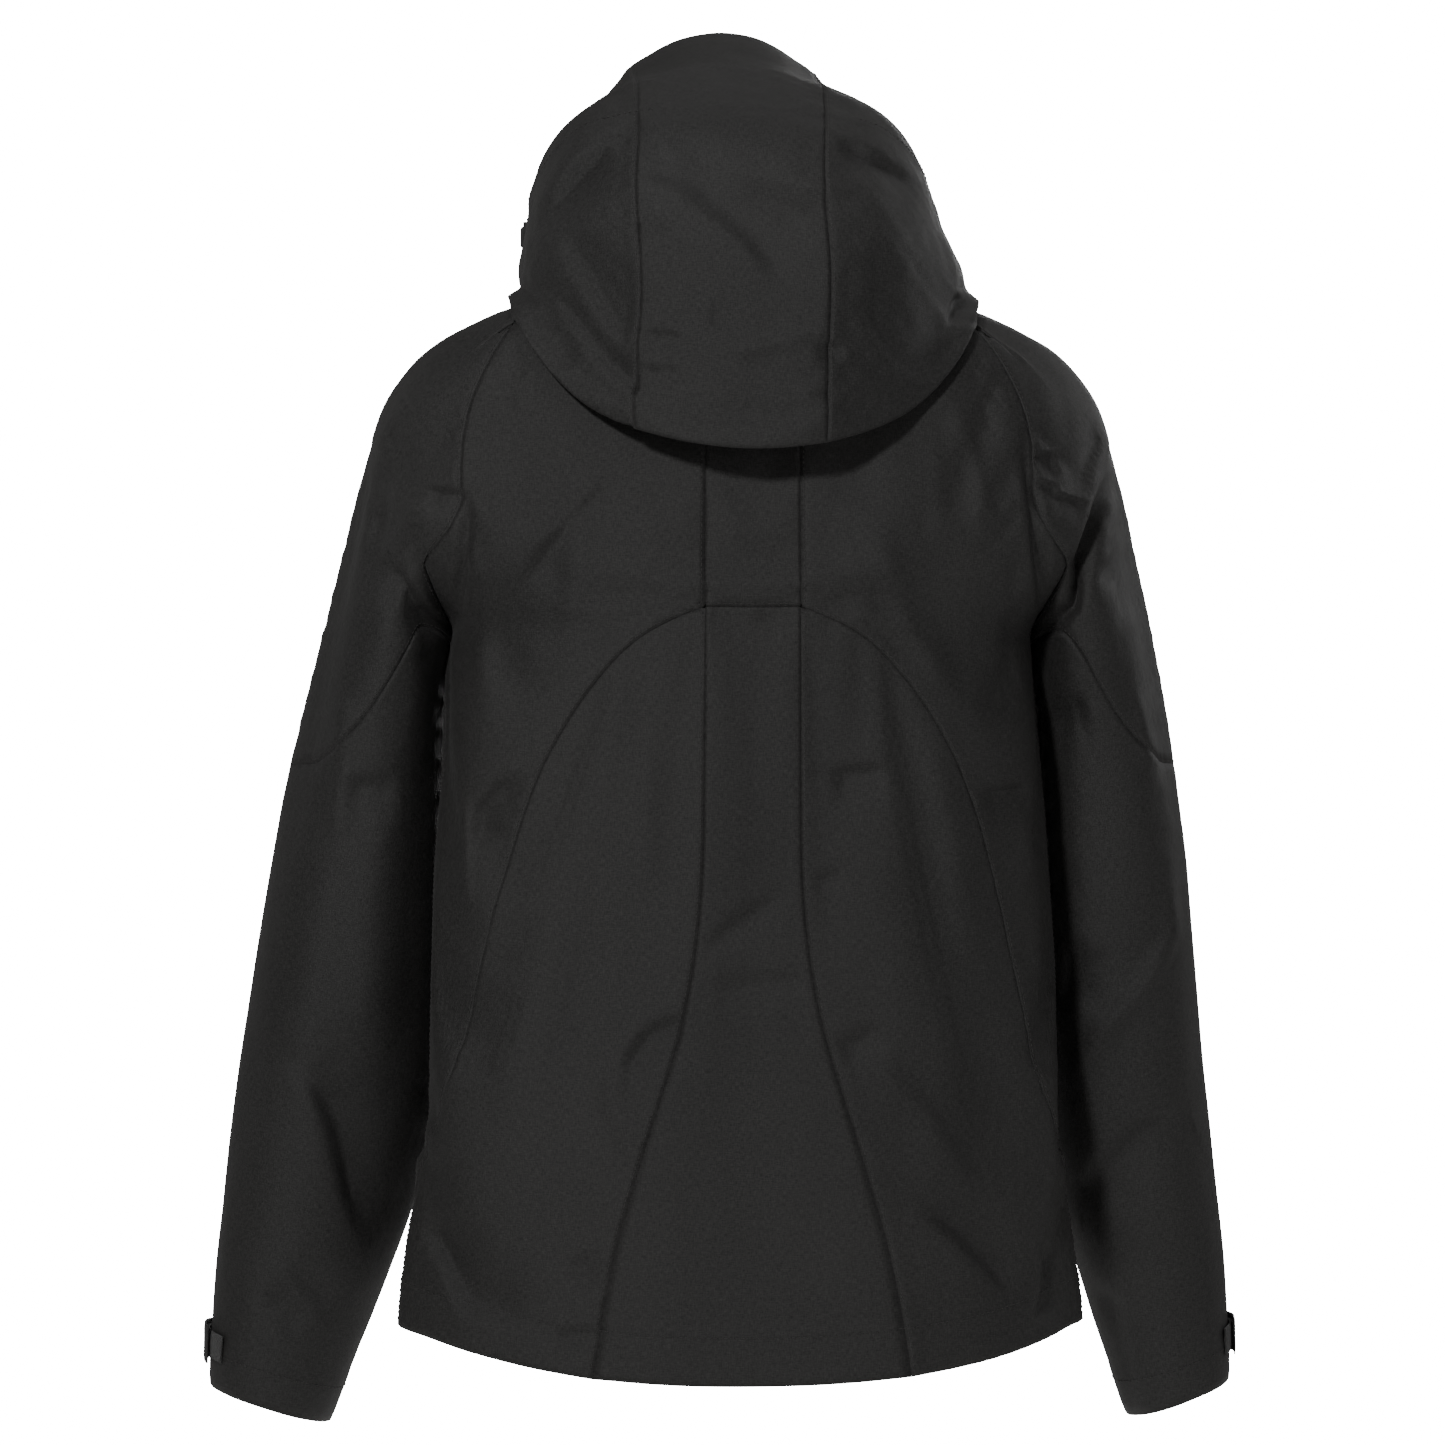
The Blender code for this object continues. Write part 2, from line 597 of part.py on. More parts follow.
def hood_parts():
    alongs = spread(0.0, VISOR_SEAM, 9)[:-1] + spread(VISOR_SEAM, 1.0, 12)
    gap = 0.35

    def beside(along, side):
        return abs(hood_seam_angle(along, side)) + gap

    places = [
        [(a, x) for x in spread(hood_seam_angle(a, -1) + gap, hood_seam_angle(a, 1) - gap, 6)]
        for a in alongs
    ]
    sheet("hood_centre", places, hood_point, "shell", -1)
    for word, side in (("left", -1), ("right", 1)):
        places = [[(a, side * x) for x in spread(beside(a, side), 90.0, 9)] for a in alongs]
        sheet(f"hood_{word}", places, hood_point, "shell", -1)
    lift = -WALL - 4 * SEAM_GAP
    places = [[(a, x) for x in spread(-90.0, 90.0, 25)] for a in alongs[:9]]
    sheet("visor_facing", places, hood_point, "facing", -1, 0.001, lift)
    places = [[(a, x) for x in spread(-45.0, 45.0, 13)] for a in alongs[1:3]]
    sheet("visor_stiffener", places, hood_point, "plastic", -1, 0.0008, lift - 0.001 - SEAM_GAP)


LOCK_WIDE, LOCK_DEEP, LOCK_HIGH = 0.0085, 0.0085, 0.014
LOCK_ALONG, LOCK_ANGLE = 0.30, 80.0  # where on the hood the locks sit
LOCK_STANDOFF = 0.0030  # from the hood's outer surface
PLUNGER_RADIUS, PLUNGER_BORE, PLUNGER_TRAVEL = 0.0024, 0.0028, 0.0025


def cord_locks():
    """A spring-loaded lock for the hood's drawcord on each side of the hood."""
    for word, side in (("left", -1), ("right", 1)):
        centre = hood_point(LOCK_ALONG, side * LOCK_ANGLE)
        centre.x += side * (LOCK_WIDE / 2 + LOCK_STANDOFF)
        half = Vector((LOCK_WIDE, LOCK_DEEP, LOCK_HIGH)) / 2
        barrel = box(f"cord_lock_{word}", centre - half, centre + half, "plastic", 0.0015)
        top = centre.z + half.z
        depth = 0.0095
        bore = Vector((centre.x, centre.y, top - depth / 2 + 0.0005))
        drill = cutter(f"lock_bore_{word}", PLUNGER_BORE, depth + 0.001, (0, 0, 1), bore)
        combine(barrel, drill, "DIFFERENCE")
        plunger_low = top - depth + PLUNGER_TRAVEL + 0.001
        middle = Vector((centre.x, centre.y, (plunger_low + top + 0.0035) / 2))
        pin = cutter(
            f"cord_lock_plunger_{word}", PLUNGER_RADIUS, top + 0.0035 - plunger_low, (0, 0, 1), middle
        )
        pin.hide_render = False
        pin.display_type = "TEXTURED"
        pin.data.materials.append(materials["rubber"])


def front_zip_frame():
    """Moves a zip part from its own space, where -Y is outwards and Z runs along the zip, to the front."""
    foot = Vector((0, FRONT_HEM_Y, HEM_Z))
    lean = Matrix.Rotation(-math.atan(FRONT_LEAN), 4, "X")
    return Matrix.Translation(foot) @ lean @ Matrix.Rotation(math.pi, 4, "Z")


def place(obj, frame):
    obj.matrix_local = frame


TOUCH_GAP = 0.0003  # kept between pieces that touch
SLIDER_HALF, SLIDER_LONG, SLIDER_HIGH = 0.0055, 0.013, 0.0042
CHAIN_HIGH = 0.0018
CHAIN_STOP = 0.004  # the chain ends this far below the tapes' top
PIN_HEIGHT = 0.0026  # from the slider's face to its pin
PIN_RADIUS, EYE_RADIUS, EYE_HOLE = 0.0008, 0.0026, 0.0013
PIN_Y = -TOUCH_GAP - SLIDER_HIGH - PIN_HEIGHT
PIN_Z = 0.0070
PULL_WIDE, PULL_LONG, PULL_THICK = 0.007, 0.034, 0.0018


def zip_slider(name):
    """A slider's front plate with its flanges over the chain, and the pin that the pull hangs on."""
    floor = -TOUCH_GAP
    body = box(
        name, (-SLIDER_HALF, floor - SLIDER_HIGH, 0), (SLIDER_HALF, floor, SLIDER_LONG), "metal", 0.0008
    )
    channel = ZIP_CHAIN + 0.0006
    groove = box(
        f"{name}_channel", (-channel, floor - CHAIN_HIGH - 0.0004, -0.01), (channel, 0.01, 0.03), "metal"
    )
    groove.hide_render = True
    groove.display_type = "WIRE"
    combine(body, groove, "DIFFERENCE")
    top = floor - SLIDER_HIGH
    for side in (-1, 1):
        post = box(
            f"{name}_post{side}",
            (side * 0.0038 - 0.0008, top - 0.0038, 0.0058), (side * 0.0038 + 0.0008, top + 0.001, 0.0082),
            "metal",
        )
        post.hide_render = True
        post.display_type = "WIRE"
        combine(body, post, "UNION")
    pin = cutter(f"{name}_pin", PIN_RADIUS, 0.0086, (1, 0, 0), (0, PIN_Y, PIN_Z))
    combine(body, pin, "UNION")
    return body


def zip_pull(name):
    """The pull: an eye round the slider's pin and a flat tab that hangs from it."""
    eye = box(
        name,
        (-0.0026, PIN_Y - PULL_THICK / 2, PIN_Z - PULL_LONG),
        (0.0026, PIN_Y + PULL_THICK / 2, PIN_Z - 0.0017),
        "rubber", 0.0006,
    )
    ring = cutter(f"{name}_eye", EYE_RADIUS - 0.0004, 0.0046, (1, 0, 0), (0, PIN_Y, PIN_Z))
    grip = box(
        f"{name}_grip",
        (-PULL_WIDE / 2, PIN_Y - 0.0015, PIN_Z - PULL_LONG - 0.001),
        (PULL_WIDE / 2, PIN_Y + 0.0015, PIN_Z - 0.010),
        "rubber", 0.0009,
    )
    grip.hide_render = True
    grip.display_type = "WIRE"
    hole = cutter(f"{name}_hole", EYE_HOLE, 0.02, (1, 0, 0), (0, PIN_Y, PIN_Z))
    combine(eye, ring, "UNION")
    combine(eye, grip, "UNION")
    combine(eye, hole, "DIFFERENCE")
    return eye


def move_with_helpers(obj, frame):
    """Places an object and the hidden shapes that its modifiers use."""
    obj.matrix_local = frame
    for step in obj.modifiers:
        step.object.matrix_local = frame @ step.object.matrix_local


def zip_length():
    top = body_point(NECK_Z, 180.0).z + COLLAR_HEIGHT
    return (top - HEM_Z) * math.hypot(1, FRONT_LEAN)


def front_zip():
    frame = front_zip_frame()
    length = zip_length()
    for word, side in (("left", 1), ("right", -1)):
        near, far = side * 0.0004, side * ZIP_TAPE
        tape = box(
            f"zip_tape_{word}", (min(near, far), 0.0, 0.0), (max(near, far), 0.0008, length), "tape"
        )
        place(tape, frame)
        near, far = side * 0.0002, side * ZIP_CHAIN
        chain = box(
            f"zip_chain_{word}", (min(near, far), -TOUCH_GAP - CHAIN_HIGH, 0.006),
            (max(near, far), -TOUCH_GAP, length - CHAIN_STOP), "teeth",
        )
        place(chain, frame)
    stop = box("zip_box", (-0.0050, -0.0032, 0.0), (0.0050, -TOUCH_GAP, 0.0055), "teeth", 0.0007)
    place(stop, frame)
    flap = box(
        "storm_flap", (-ZIP_TAPE, 0.0012, 0.002), (ZIP_TAPE, 0.0027, length - 0.002), "facing", 0.0004
    )
    place(flap, frame)
    travel_top = length - CHAIN_STOP - SLIDER_LONG - 0.002
    slider_frame = frame @ Matrix.Translation((0, 0, travel_top))
    move_with_helpers(zip_slider("zip_slider"), slider_frame)
    move_with_helpers(zip_pull("zip_pull"), slider_frame)


def pocket_frame(side):
    """Puts a zip part on the front panel's pocket line, upright and facing out of the curved panel."""
    low = body_point(POCKET_BOTTOM, side * angle_at(POCKET_BOTTOM, POCKET_X, True))
    high = body_point(POCKET_TOP, side * angle_at(POCKET_TOP, POCKET_X, True))
    beside = body_point(POCKET_BOTTOM, side * angle_at(POCKET_BOTTOM, POCKET_X + 0.01, True))
    up = (high - low).normalized()
    across = (low - beside) * side
    out = across.cross(up).normalized()
    if out.y < 0:
        out = -out
    right = (-out).cross(up).normalized()
    turn = Matrix((right, -out, up)).transposed().to_4x4()
    return Matrix.Translation(low + out * 0.0016) @ turn, (high - low).length


def pocket_zips():
    for word, side in (("left", -1), ("right", 1)):
        frame, length = pocket_frame(side)
        tape = box(f"pocket_tape_{word}", (-0.011, -0.0001, -0.008), (0.011, 0.0008, length + 0.008), "tape")
        place(tape, frame)
        chain = box(
            f"pocket_chain_{word}", (-ZIP_CHAIN, -TOUCH_GAP - CHAIN_HIGH, 0.0),
            (ZIP_CHAIN, -TOUCH_GAP, length), "teeth",
        )
        place(chain, frame)
        slider_frame = frame @ Matrix.Translation((0, 0, length - SLIDER_LONG - 0.001))
        move_with_helpers(zip_slider(f"pocket_slider_{word}"), slider_frame)
        move_with_helpers(zip_pull(f"pocket_pull_{word}"), slider_frame)


def pocket_bags():
    """The pockets' inner layers, behind the front panels."""
    for word, side in (("left", -1), ("right", 1)):
        places = []
        for height in spread(POCKET_BOTTOM - 0.045, POCKET_TOP + 0.012, 7):
            ends = [angle_at(height, x, True) for x in (0.185, 0.045)]
            places.append([(height, side * angle) for angle in spread(*ends, 9)])
        lift = -WALL - 0.0045
        sheet(f"pocket_bag_{word}", places, body_point, "facing", 1, 0.0012, lift)


def hang_loop():
    """A band bowed out from the inside of the neck, which a hook goes through."""
    half, deep, high = 0.034, 0.012, 0.006

    def band(z, share):
        angle = angle_at(NECK_Z, abs(share) * half)
        wall_y = body_point(NECK_Z, angle).y + WALL + SEAM_GAP + TRIM
        return Vector((share * half, wall_y + deep * math.cos(share * math.pi / 2), z))

    heights = spread(HANG_POINT.z - high, HANG_POINT.z + high, 3)
    places = [[(z, share) for share in spread(-1.0, 1.0, 17)] for z in heights]
    sheet("hang_loop", places, band, "tape", -1, TRIM)


def build():
    clear_scene()
    jacket = bpy.data.objects.new("jacket", None)
    bpy.context.scene.collection.objects.link(jacket)
    jacket.location = -HANG_POINT
    material("shell", (0.028, 0.028, 0.028), 0.62)
    material("facing", (0.022, 0.022, 0.022), 0.75)
    material("tape", (0.018, 0.018, 0.018), 0.70)
    material("teeth", (0.012, 0.012, 0.012), 0.35)
    material("metal", (0.030, 0.030, 0.032), 0.35, 0.9)
    material("rubber", (0.015, 0.015, 0.015), 0.55)
    material("hook_loop", (0.008, 0.008, 0.008), 0.95)
    material("plastic", (0.014, 0.014, 0.014), 0.40)
    back_panels()
    front_panels()
    shoulders()
    sleeves()
    cuff_tabs()
    hem_parts()
    collar()
    hood_parts()
    cord_locks()
    front_zip()
    pocket_zips()
    pocket_bags()
    hang_loop()


build()
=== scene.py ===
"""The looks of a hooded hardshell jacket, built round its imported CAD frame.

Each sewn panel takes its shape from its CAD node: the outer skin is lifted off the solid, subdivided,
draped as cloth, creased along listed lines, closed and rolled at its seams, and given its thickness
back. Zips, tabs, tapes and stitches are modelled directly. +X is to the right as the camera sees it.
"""

import json
import math

import bmesh
import bpy
import numpy as np
from mathutils import Matrix, Vector, noise
from mathutils.bvhtree import BVHTree
from mathutils.kdtree import KDTree


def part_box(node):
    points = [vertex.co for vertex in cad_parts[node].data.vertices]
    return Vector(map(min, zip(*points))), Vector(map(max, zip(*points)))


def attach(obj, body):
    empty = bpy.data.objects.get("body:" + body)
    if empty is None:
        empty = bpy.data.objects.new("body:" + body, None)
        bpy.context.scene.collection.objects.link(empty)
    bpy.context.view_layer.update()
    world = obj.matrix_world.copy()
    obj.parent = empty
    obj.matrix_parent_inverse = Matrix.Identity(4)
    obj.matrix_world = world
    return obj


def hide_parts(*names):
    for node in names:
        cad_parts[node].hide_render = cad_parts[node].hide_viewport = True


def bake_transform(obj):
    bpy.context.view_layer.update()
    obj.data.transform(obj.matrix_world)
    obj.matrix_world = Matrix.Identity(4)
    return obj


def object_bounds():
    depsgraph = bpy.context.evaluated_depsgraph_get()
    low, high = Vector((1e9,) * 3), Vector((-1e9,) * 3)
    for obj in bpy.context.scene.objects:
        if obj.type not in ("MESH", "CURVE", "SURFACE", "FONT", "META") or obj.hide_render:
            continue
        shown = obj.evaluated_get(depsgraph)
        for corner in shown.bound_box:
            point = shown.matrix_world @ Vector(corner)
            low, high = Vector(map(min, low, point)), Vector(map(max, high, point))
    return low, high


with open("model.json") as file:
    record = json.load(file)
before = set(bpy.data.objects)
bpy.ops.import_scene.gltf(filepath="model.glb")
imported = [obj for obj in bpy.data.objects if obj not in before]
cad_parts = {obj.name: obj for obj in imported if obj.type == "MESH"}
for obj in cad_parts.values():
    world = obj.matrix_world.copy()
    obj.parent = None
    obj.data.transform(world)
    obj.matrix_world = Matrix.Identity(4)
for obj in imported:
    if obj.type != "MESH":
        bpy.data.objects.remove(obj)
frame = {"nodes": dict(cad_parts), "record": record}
bpy.context.view_layer.update()
CAD_BOX = [list(corner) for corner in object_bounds()]
LOWEST = CAD_BOX[0][2]
NODES = frame["nodes"]
SIDES = (("left", -1), ("right", 1))

# ---- sizes
CLOTH = 0.0009  # thickness of the laminate
LEVELS = 3  # subdivisions of a panel
SEAM_REACH = 0.0075  # panels' edges closer than this are sewn together
ROLL_DEPTH, ROLL_WIDTH = 0.0005, 0.0028  # how a panel's edge turns in at a seam
CLOSE_REACH, OVERLAP = 0.012, 1.02  # how far into a panel its edge is pulled to close a seam
PULL_NEIGHBOURS, PULL_BLEND = 16, 0.0012  # edge points whose pulls are averaged, and how far apart
RIDGE, RIDGE_PLACE, RIDGE_WIDTH = 0.00022, 0.0045, 0.0035  # the seam allowance under the stitched side
STITCH_LONG, STITCH_GAP, STITCH_RADIUS = 0.0025, 0.0012, 0.00030
STITCH_INSET = 0.0024  # from the seam to its topstitching
TAPE_HALF, TAPE_DEPTH, TAPE_THICK = 0.007, 0.0017, 0.0003  # the tape inside a seam
FACING_STEP = 0.0006  # a turned-up edge stands this much prouder
CUT_STRIPS = 24  # strips that a skin is measured in to find its flat cut
FLAP_DROP = 0.010  # how far the strip behind the front zip reaches below its CAD foot
DRAPE_FRAMES = 22
DRAPE_CAP = 0.006  # the furthest that draping may move a point
DRAPE_CLOTH = {
    "quality": 6,
    "mass": 0.12,
    "tension_stiffness": 28,
    "compression_stiffness": 18,
    "shear_stiffness": 10,
    "bending_stiffness": 1.4,
    "air_damping": 2.0,
    "vertex_group_mass": "hold",
    "pin_stiffness": 0.9,
    "vertex_group_shrink": "slack",
    "shrink_min": -0.005,
    "shrink_max": -0.055,
}
FREE_HEM = 0.16  # open edges this near the lowest point hang free in draping
FREE_HOOD = 0.10, -0.05  # and so does the hood's edge, beyond this y and above this z
HOLD, HOLD_TOP, HOLD_TOP_Z = 0.16, 0.30, (-0.16, -0.06)  # how firmly cloth is held, and how much more above


# ---- camera, light and floor
def placed(name, data):
    """A new object in the scene."""
    made = bpy.data.objects.new(name, data)
    bpy.context.scene.collection.objects.link(made)
    return made


def set_camera():
    """At the photograph's viewing angle: level, four degrees off square to the back, and far away."""
    turn = math.radians(4.0)
    distance = 3.5
    target = Vector((-0.011, 0.056, -0.3235))
    data = bpy.data.cameras.new("camera")
    data.sensor_width = 36
    data.lens = 128.2
    camera = placed("camera", data)
    camera.location = target + distance * Vector((-math.sin(turn), -math.cos(turn), 0))
    camera.rotation_euler = (math.pi / 2, 0, -turn)
    bpy.context.scene.camera = camera


def add_area(name, place, size, power):
    """A round soft lamp that faces the jacket's middle."""
    data = bpy.data.lights.new(name, "AREA")
    data.shape = "DISK"
    data.size = size
    data.energy = power
    lamp = placed(name, data)
    lamp.location = place
    lamp.rotation_euler = (Vector((0, 0, -0.35)) - Vector(place)).to_track_quat("-Z", "Y").to_euler()


def set_light():
    add_area("key", (-1.3, -2.5, 1.3), 0.4, 55)
    add_area("fill", (2.4, -2.0, -0.2), 1.4, 9)
    add_area("top", (0.1, 0.2, 2.3), 0.8, 8)
    add_area("rim_left", (-2.2, 1.5, 0.7), 1.0, 3)
    add_area("rim_right", (2.2, 1.5, 0.7), 1.0, 10)
    add_area("front", (0.7, 3.2, 0.4), 1.6, 26)
    world = bpy.data.worlds.new("studio")
    world.use_nodes = True
    tree = world.node_tree
    soft = tree.nodes["Background"]
    soft.inputs["Color"].default_value = (1.0, 0.98, 0.96, 1)
    soft.inputs["Strength"].default_value = 0.10
    white = tree.nodes.new("ShaderNodeBackground")
    white.inputs["Strength"].default_value = 30.0
    seen = tree.nodes.new("ShaderNodeLightPath")
    pick = tree.nodes.new("ShaderNodeMixShader")
    tree.links.new(seen.outputs["Is Camera Ray"], pick.inputs[0])
    tree.links.new(soft.outputs[0], pick.inputs[1])
    tree.links.new(white.outputs[0], pick.inputs[2])
    tree.links.new(pick.outputs[0], tree.nodes["World Output"].inputs["Surface"])
    bpy.context.scene.world = world


def set_floor():
    """A pale studio floor, well below the hanging jacket."""
    work = bmesh.new()
    bmesh.ops.create_circle(work, cap_ends=True, segments=96, radius=4.0)
    bmesh.ops.translate(work, vec=(0, 0, LOWEST - 0.9), verts=work.verts)
    data = bpy.data.meshes.new("floor")
    work.to_mesh(data)
    work.free()
    s = Shading("pale_floor")
    place = s.add("ShaderNodeTexCoord").outputs["Object"]
    mottle = s.add("ShaderNodeTexNoise", {"Vector": place, "Scale": 3.0}).outputs[0]
    s.link(s.ramp(mottle, (0.80, 0.80, 0.79), (0.84, 0.84, 0.83)), "Base Color")
    s.put(Roughness=0.8, Emission_Color=(1, 0.99, 0.97, 1), Emission_Strength=0.16)
    data.materials.append(s.material)
    placed("floor", data)


# ---- materials
class Shading:
    """A node tree being put together."""

    def __init__(self, name):
        self.material = bpy.data.materials.new(name)
        self.material.use_nodes = True
        self.tree = self.material.node_tree
        self.shader = self.tree.nodes["Principled BSDF"]

    def add(self, kind, inputs=(), **settings):
        node = self.tree.nodes.new(kind)
        for key, value in settings.items():
            setattr(node, key, value)
        for key, value in dict(inputs).items():
            if hasattr(value, "is_output"):
                self.tree.links.new(value, node.inputs[key])
            else:
                node.inputs[key].default_value = value
        return node

    def link(self, output, socket):
        self.tree.links.new(output, self.shader.inputs[socket])

    def math(self, operation, a, b=0.0):
        return self.add("ShaderNodeMath", {0: a, 1: b}, operation=operation).outputs[0]

    def noise(self, place, scale, detail=2.0, rough=0.5):
        inputs = {"Vector": place, "Scale": scale, "Detail": detail, "Roughness": rough}
        return self.add("ShaderNodeTexNoise", inputs).outputs[0]

    def bump(self, height, strength, distance, under=None):
        inputs = {"Strength": strength, "Distance": distance, "Height": height}
        if under:
            inputs["Normal"] = under
        return self.add("ShaderNodeBump", inputs).outputs[0]

    def ramp(self, fac, low, high, places=(0.0, 1.0)):
        node = self.add("ShaderNodeValToRGB", {"Fac": fac})
        for element, place, colour in zip(node.color_ramp.elements, places, (low, high)):
            element.position = place
            element.color = (*colour, 1)
        return node.outputs["Color"]

    def put(self, **values):
        for socket, value in values.items():
            self.shader.inputs[socket.replace("_", " ")].default_value = value


def tone(value, warm=0.03):
    return (value * (1 + warm), value, value * (1 - warm))


def woven(name, dark, light, thread, roughness, bump, sheen, crumple=0.2):
    """A plain weave from the UV map, which is in metres: threads both ways, mottled yarn, slight wear."""
    s = Shading(name)
    uv = s.add("ShaderNodeUVMap").outputs[0]
    place = s.add("ShaderNodeTexCoord").outputs["Object"]
    turns = math.tau / thread
    axes = s.add("ShaderNodeSeparateXYZ", {0: uv})
    across = s.math("SINE", s.math("MULTIPLY", axes.outputs[0], turns))
    along = s.math("SINE", s.math("MULTIPLY", axes.outputs[1], turns))
    weave = s.math("MULTIPLY", across, along)
    yarns = []
    for scale in ((1300, 260, 1), (260, 1300, 1)):
        stretched = s.add("ShaderNodeMapping", {"Vector": uv, "Scale": scale}).outputs[0]
        yarns.append(s.noise(stretched, 1.0))
    grain = s.noise(place, 1100.0, 2.0)
    cloud = s.noise(place, 9.0, 3.0)
    mixed = s.math("ADD", s.math("MULTIPLY", yarns[0], 0.36), s.math("MULTIPLY", yarns[1], 0.36))
    mixed = s.math("ADD", mixed, s.math("MULTIPLY", grain, 0.28))
    mottled = s.math("ADD", mixed, s.math("MULTIPLY", s.math("SUBTRACT", cloud, 0.5), 0.16))
    s.link(s.ramp(mottled, tone(dark), tone(light), (0.38, 0.64)), "Base Color")
    height = s.math("ADD", s.math("MULTIPLY", weave, 0.35), s.math("MULTIPLY", mixed, 1.3))
    fine = s.bump(height, bump, 0.0004)
    s.link(s.bump(s.noise(place, 46.0, 4.0, 0.55), crumple, 0.0014, fine), "Normal")
    worn = s.math("ADD", s.math("MULTIPLY", cloud, 0.16), roughness - 0.08)
    s.link(s.math("ADD", worn, s.math("MULTIPLY", s.math("SUBTRACT", grain, 0.5), 0.2)), "Roughness")
    s.put(Specular_IOR_Level=0.42, Sheen_Weight=sheen, Sheen_Roughness=0.42)
    return s.material


def moulded(name, colour, roughness, metallic=0.0, bump=0.08):
    """Moulded plastic, rubber or painted metal, with a fine grain and handling wear."""
    s = Shading(name)
    place = s.add("ShaderNodeTexCoord").outputs["Object"]
    wear = s.noise(place, 110.0, 4.0)
    s.link(s.ramp(wear, tone(colour), tone(colour * 2.1), (0.45, 0.85)), "Base Color")
    s.link(s.math("ADD", s.math("MULTIPLY", wear, 0.25), roughness - 0.12), "Roughness")
    s.link(s.bump(s.noise(place, 600.0), bump, 0.0003), "Normal")
    s.put(Metallic=metallic)
    return s.material


def fuzzy(name):
    """Hook-and-loop pile."""
    s = Shading(name)
    place = s.add("ShaderNodeTexCoord").outputs["Object"]
    tuft = s.add("ShaderNodeTexVoronoi", {"Vector": place, "Scale": 1100.0}).outputs["Distance"]
    pile = s.math("ADD", tuft, s.math("MULTIPLY", s.noise(place, 2600.0, 3.0), 0.6))
    s.link(s.ramp(pile, tone(0.003), tone(0.018), (0.2, 1.0)), "Base Color")
    s.link(s.bump(pile, 0.9, 0.0012), "Normal")
    s.put(Roughness=0.95, Sheen_Weight=0.25)
    return s.material


SHELL = woven("shell_fabric", 0.0090, 0.036, 0.0009, 0.565, 0.60, 0.04)
FACING = woven("facing_fabric", 0.010, 0.030, 0.0008, 0.74, 0.5, 0.04)
TAPE = woven("tape_weave", 0.012, 0.032, 0.0016, 0.76, 0.9, 0.04)
THREAD = woven("thread", 0.020, 0.066, 0.0005, 0.66, 0.6, 0.08, 0.0)
TEETH = moulded("moulded_teeth", 0.010, 0.34)
METAL = moulded("painted_slider", 0.018, 0.34, 0.6)
RUBBER = moulded("rubber_pull", 0.012, 0.58, bump=0.2)
PLASTIC = moulded("lock_plastic", 0.011, 0.42)
PILE = fuzzy("hook_and_loop")


# ---- meshes
def coordinates(mesh):
    """A mesh's points and vertex normals as arrays."""
    points = np.empty(len(mesh.vertices) * 3)
    mesh.vertices.foreach_get("co", points)
    normals = np.empty(len(mesh.vertices) * 3)
    mesh.vertex_normals.foreach_get("vector", normals)
    return points.reshape(-1, 3), normals.reshape(-1, 3)


def move_points(mesh, points):
    mesh.vertices.foreach_set("co", points.ravel())
    mesh.update()


def tree_of(points):
    tree = KDTree(len(points))
    for i, point in enumerate(points):
        tree.insert(point, i)
    tree.balance()
    return tree


def nearest(tree, points):
    """For each point, the index of the tree's nearest point and its distance."""
    found = [tree.find(point) for point in points]
    return np.array([f[1] for f in found]), np.array([f[2] for f in found])


def step(x, low, high):
    """0 below low, 1 above high, and smooth between."""
    t = np.clip((x - low) / (high - low), 0.0, 1.0)
    return t * t * (3 - 2 * t)


def mesh_from(work, name):
    data = bpy.data.meshes.new(name)
    work.to_mesh(data)
    work.free()
    return data


def skin_of(name, sharp=1.0):
    """The outer layer of a CAD sheet as a bmesh, mostly of quads."""
    mesh = bmesh.new()
    mesh.from_mesh(NODES[name].data)
    bmesh.ops.remove_doubles(mesh, verts=mesh.verts, dist=2e-5)
    mesh.normal_update()
    groups = []
    seen = set()
    for start in mesh.faces:
        if start in seen:
            continue
        stack = [start]
        seen.add(start)
        group = []
        while stack:
            face = stack.pop()
            group.append(face)
            for edge in face.edges:
                if len(edge.link_faces) != 2 or edge.calc_face_angle(0.0) > sharp:
                    continue
                fresh = [other for other in edge.link_faces if other not in seen]
                seen.update(fresh)
                stack.extend(fresh)
        groups.append(group)
    keep = set(max(groups, key=lambda group: sum(face.calc_area() for face in group)))
    bmesh.ops.delete(mesh, geom=[face for face in mesh.faces if face not in keep], context="FACES")
    bmesh.ops.join_triangles(mesh, faces=mesh.faces, angle_face_threshold=0.7, angle_shape_threshold=1.2)
    return mesh


def add_band(work, lines):
    """A band of quads through lines that have equally many points."""
    grid = [[work.verts.new(point) for point in line] for line in lines]
    for one, other in zip(grid, grid[1:]):
        for k in range(len(one) - 1):
            work.faces.new((one[k], one[k + 1], other[k + 1], other[k]))


def subdivided(work, levels, name):
    """A bmesh after smooth subdivision, as mesh data."""
    data = mesh_from(work, name)
    holder = placed(name, data)
    smooth = holder.modifiers.new("smooth", "SUBSURF")
    smooth.levels = levels
    smooth.render_levels = levels
    smooth.boundary_smooth = "PRESERVE_CORNERS"
    graph = bpy.context.evaluated_depsgraph_get()
    fine = bpy.data.meshes.new_from_object(holder.evaluated_get(graph))
    bpy.data.objects.remove(holder)
    bpy.data.meshes.remove(data)
    fine.materials.clear()
    return fine


def edge_points(mesh):
    """Which vertices lie on a mesh's open edges, and those edges as index pairs."""
    work = bmesh.new()
    work.from_mesh(mesh)
    pairs = [tuple(v.index for v in e.verts) for e in work.edges if e.is_boundary]
    work.free()
    return sorted({i for pair in pairs for i in pair}), pairs


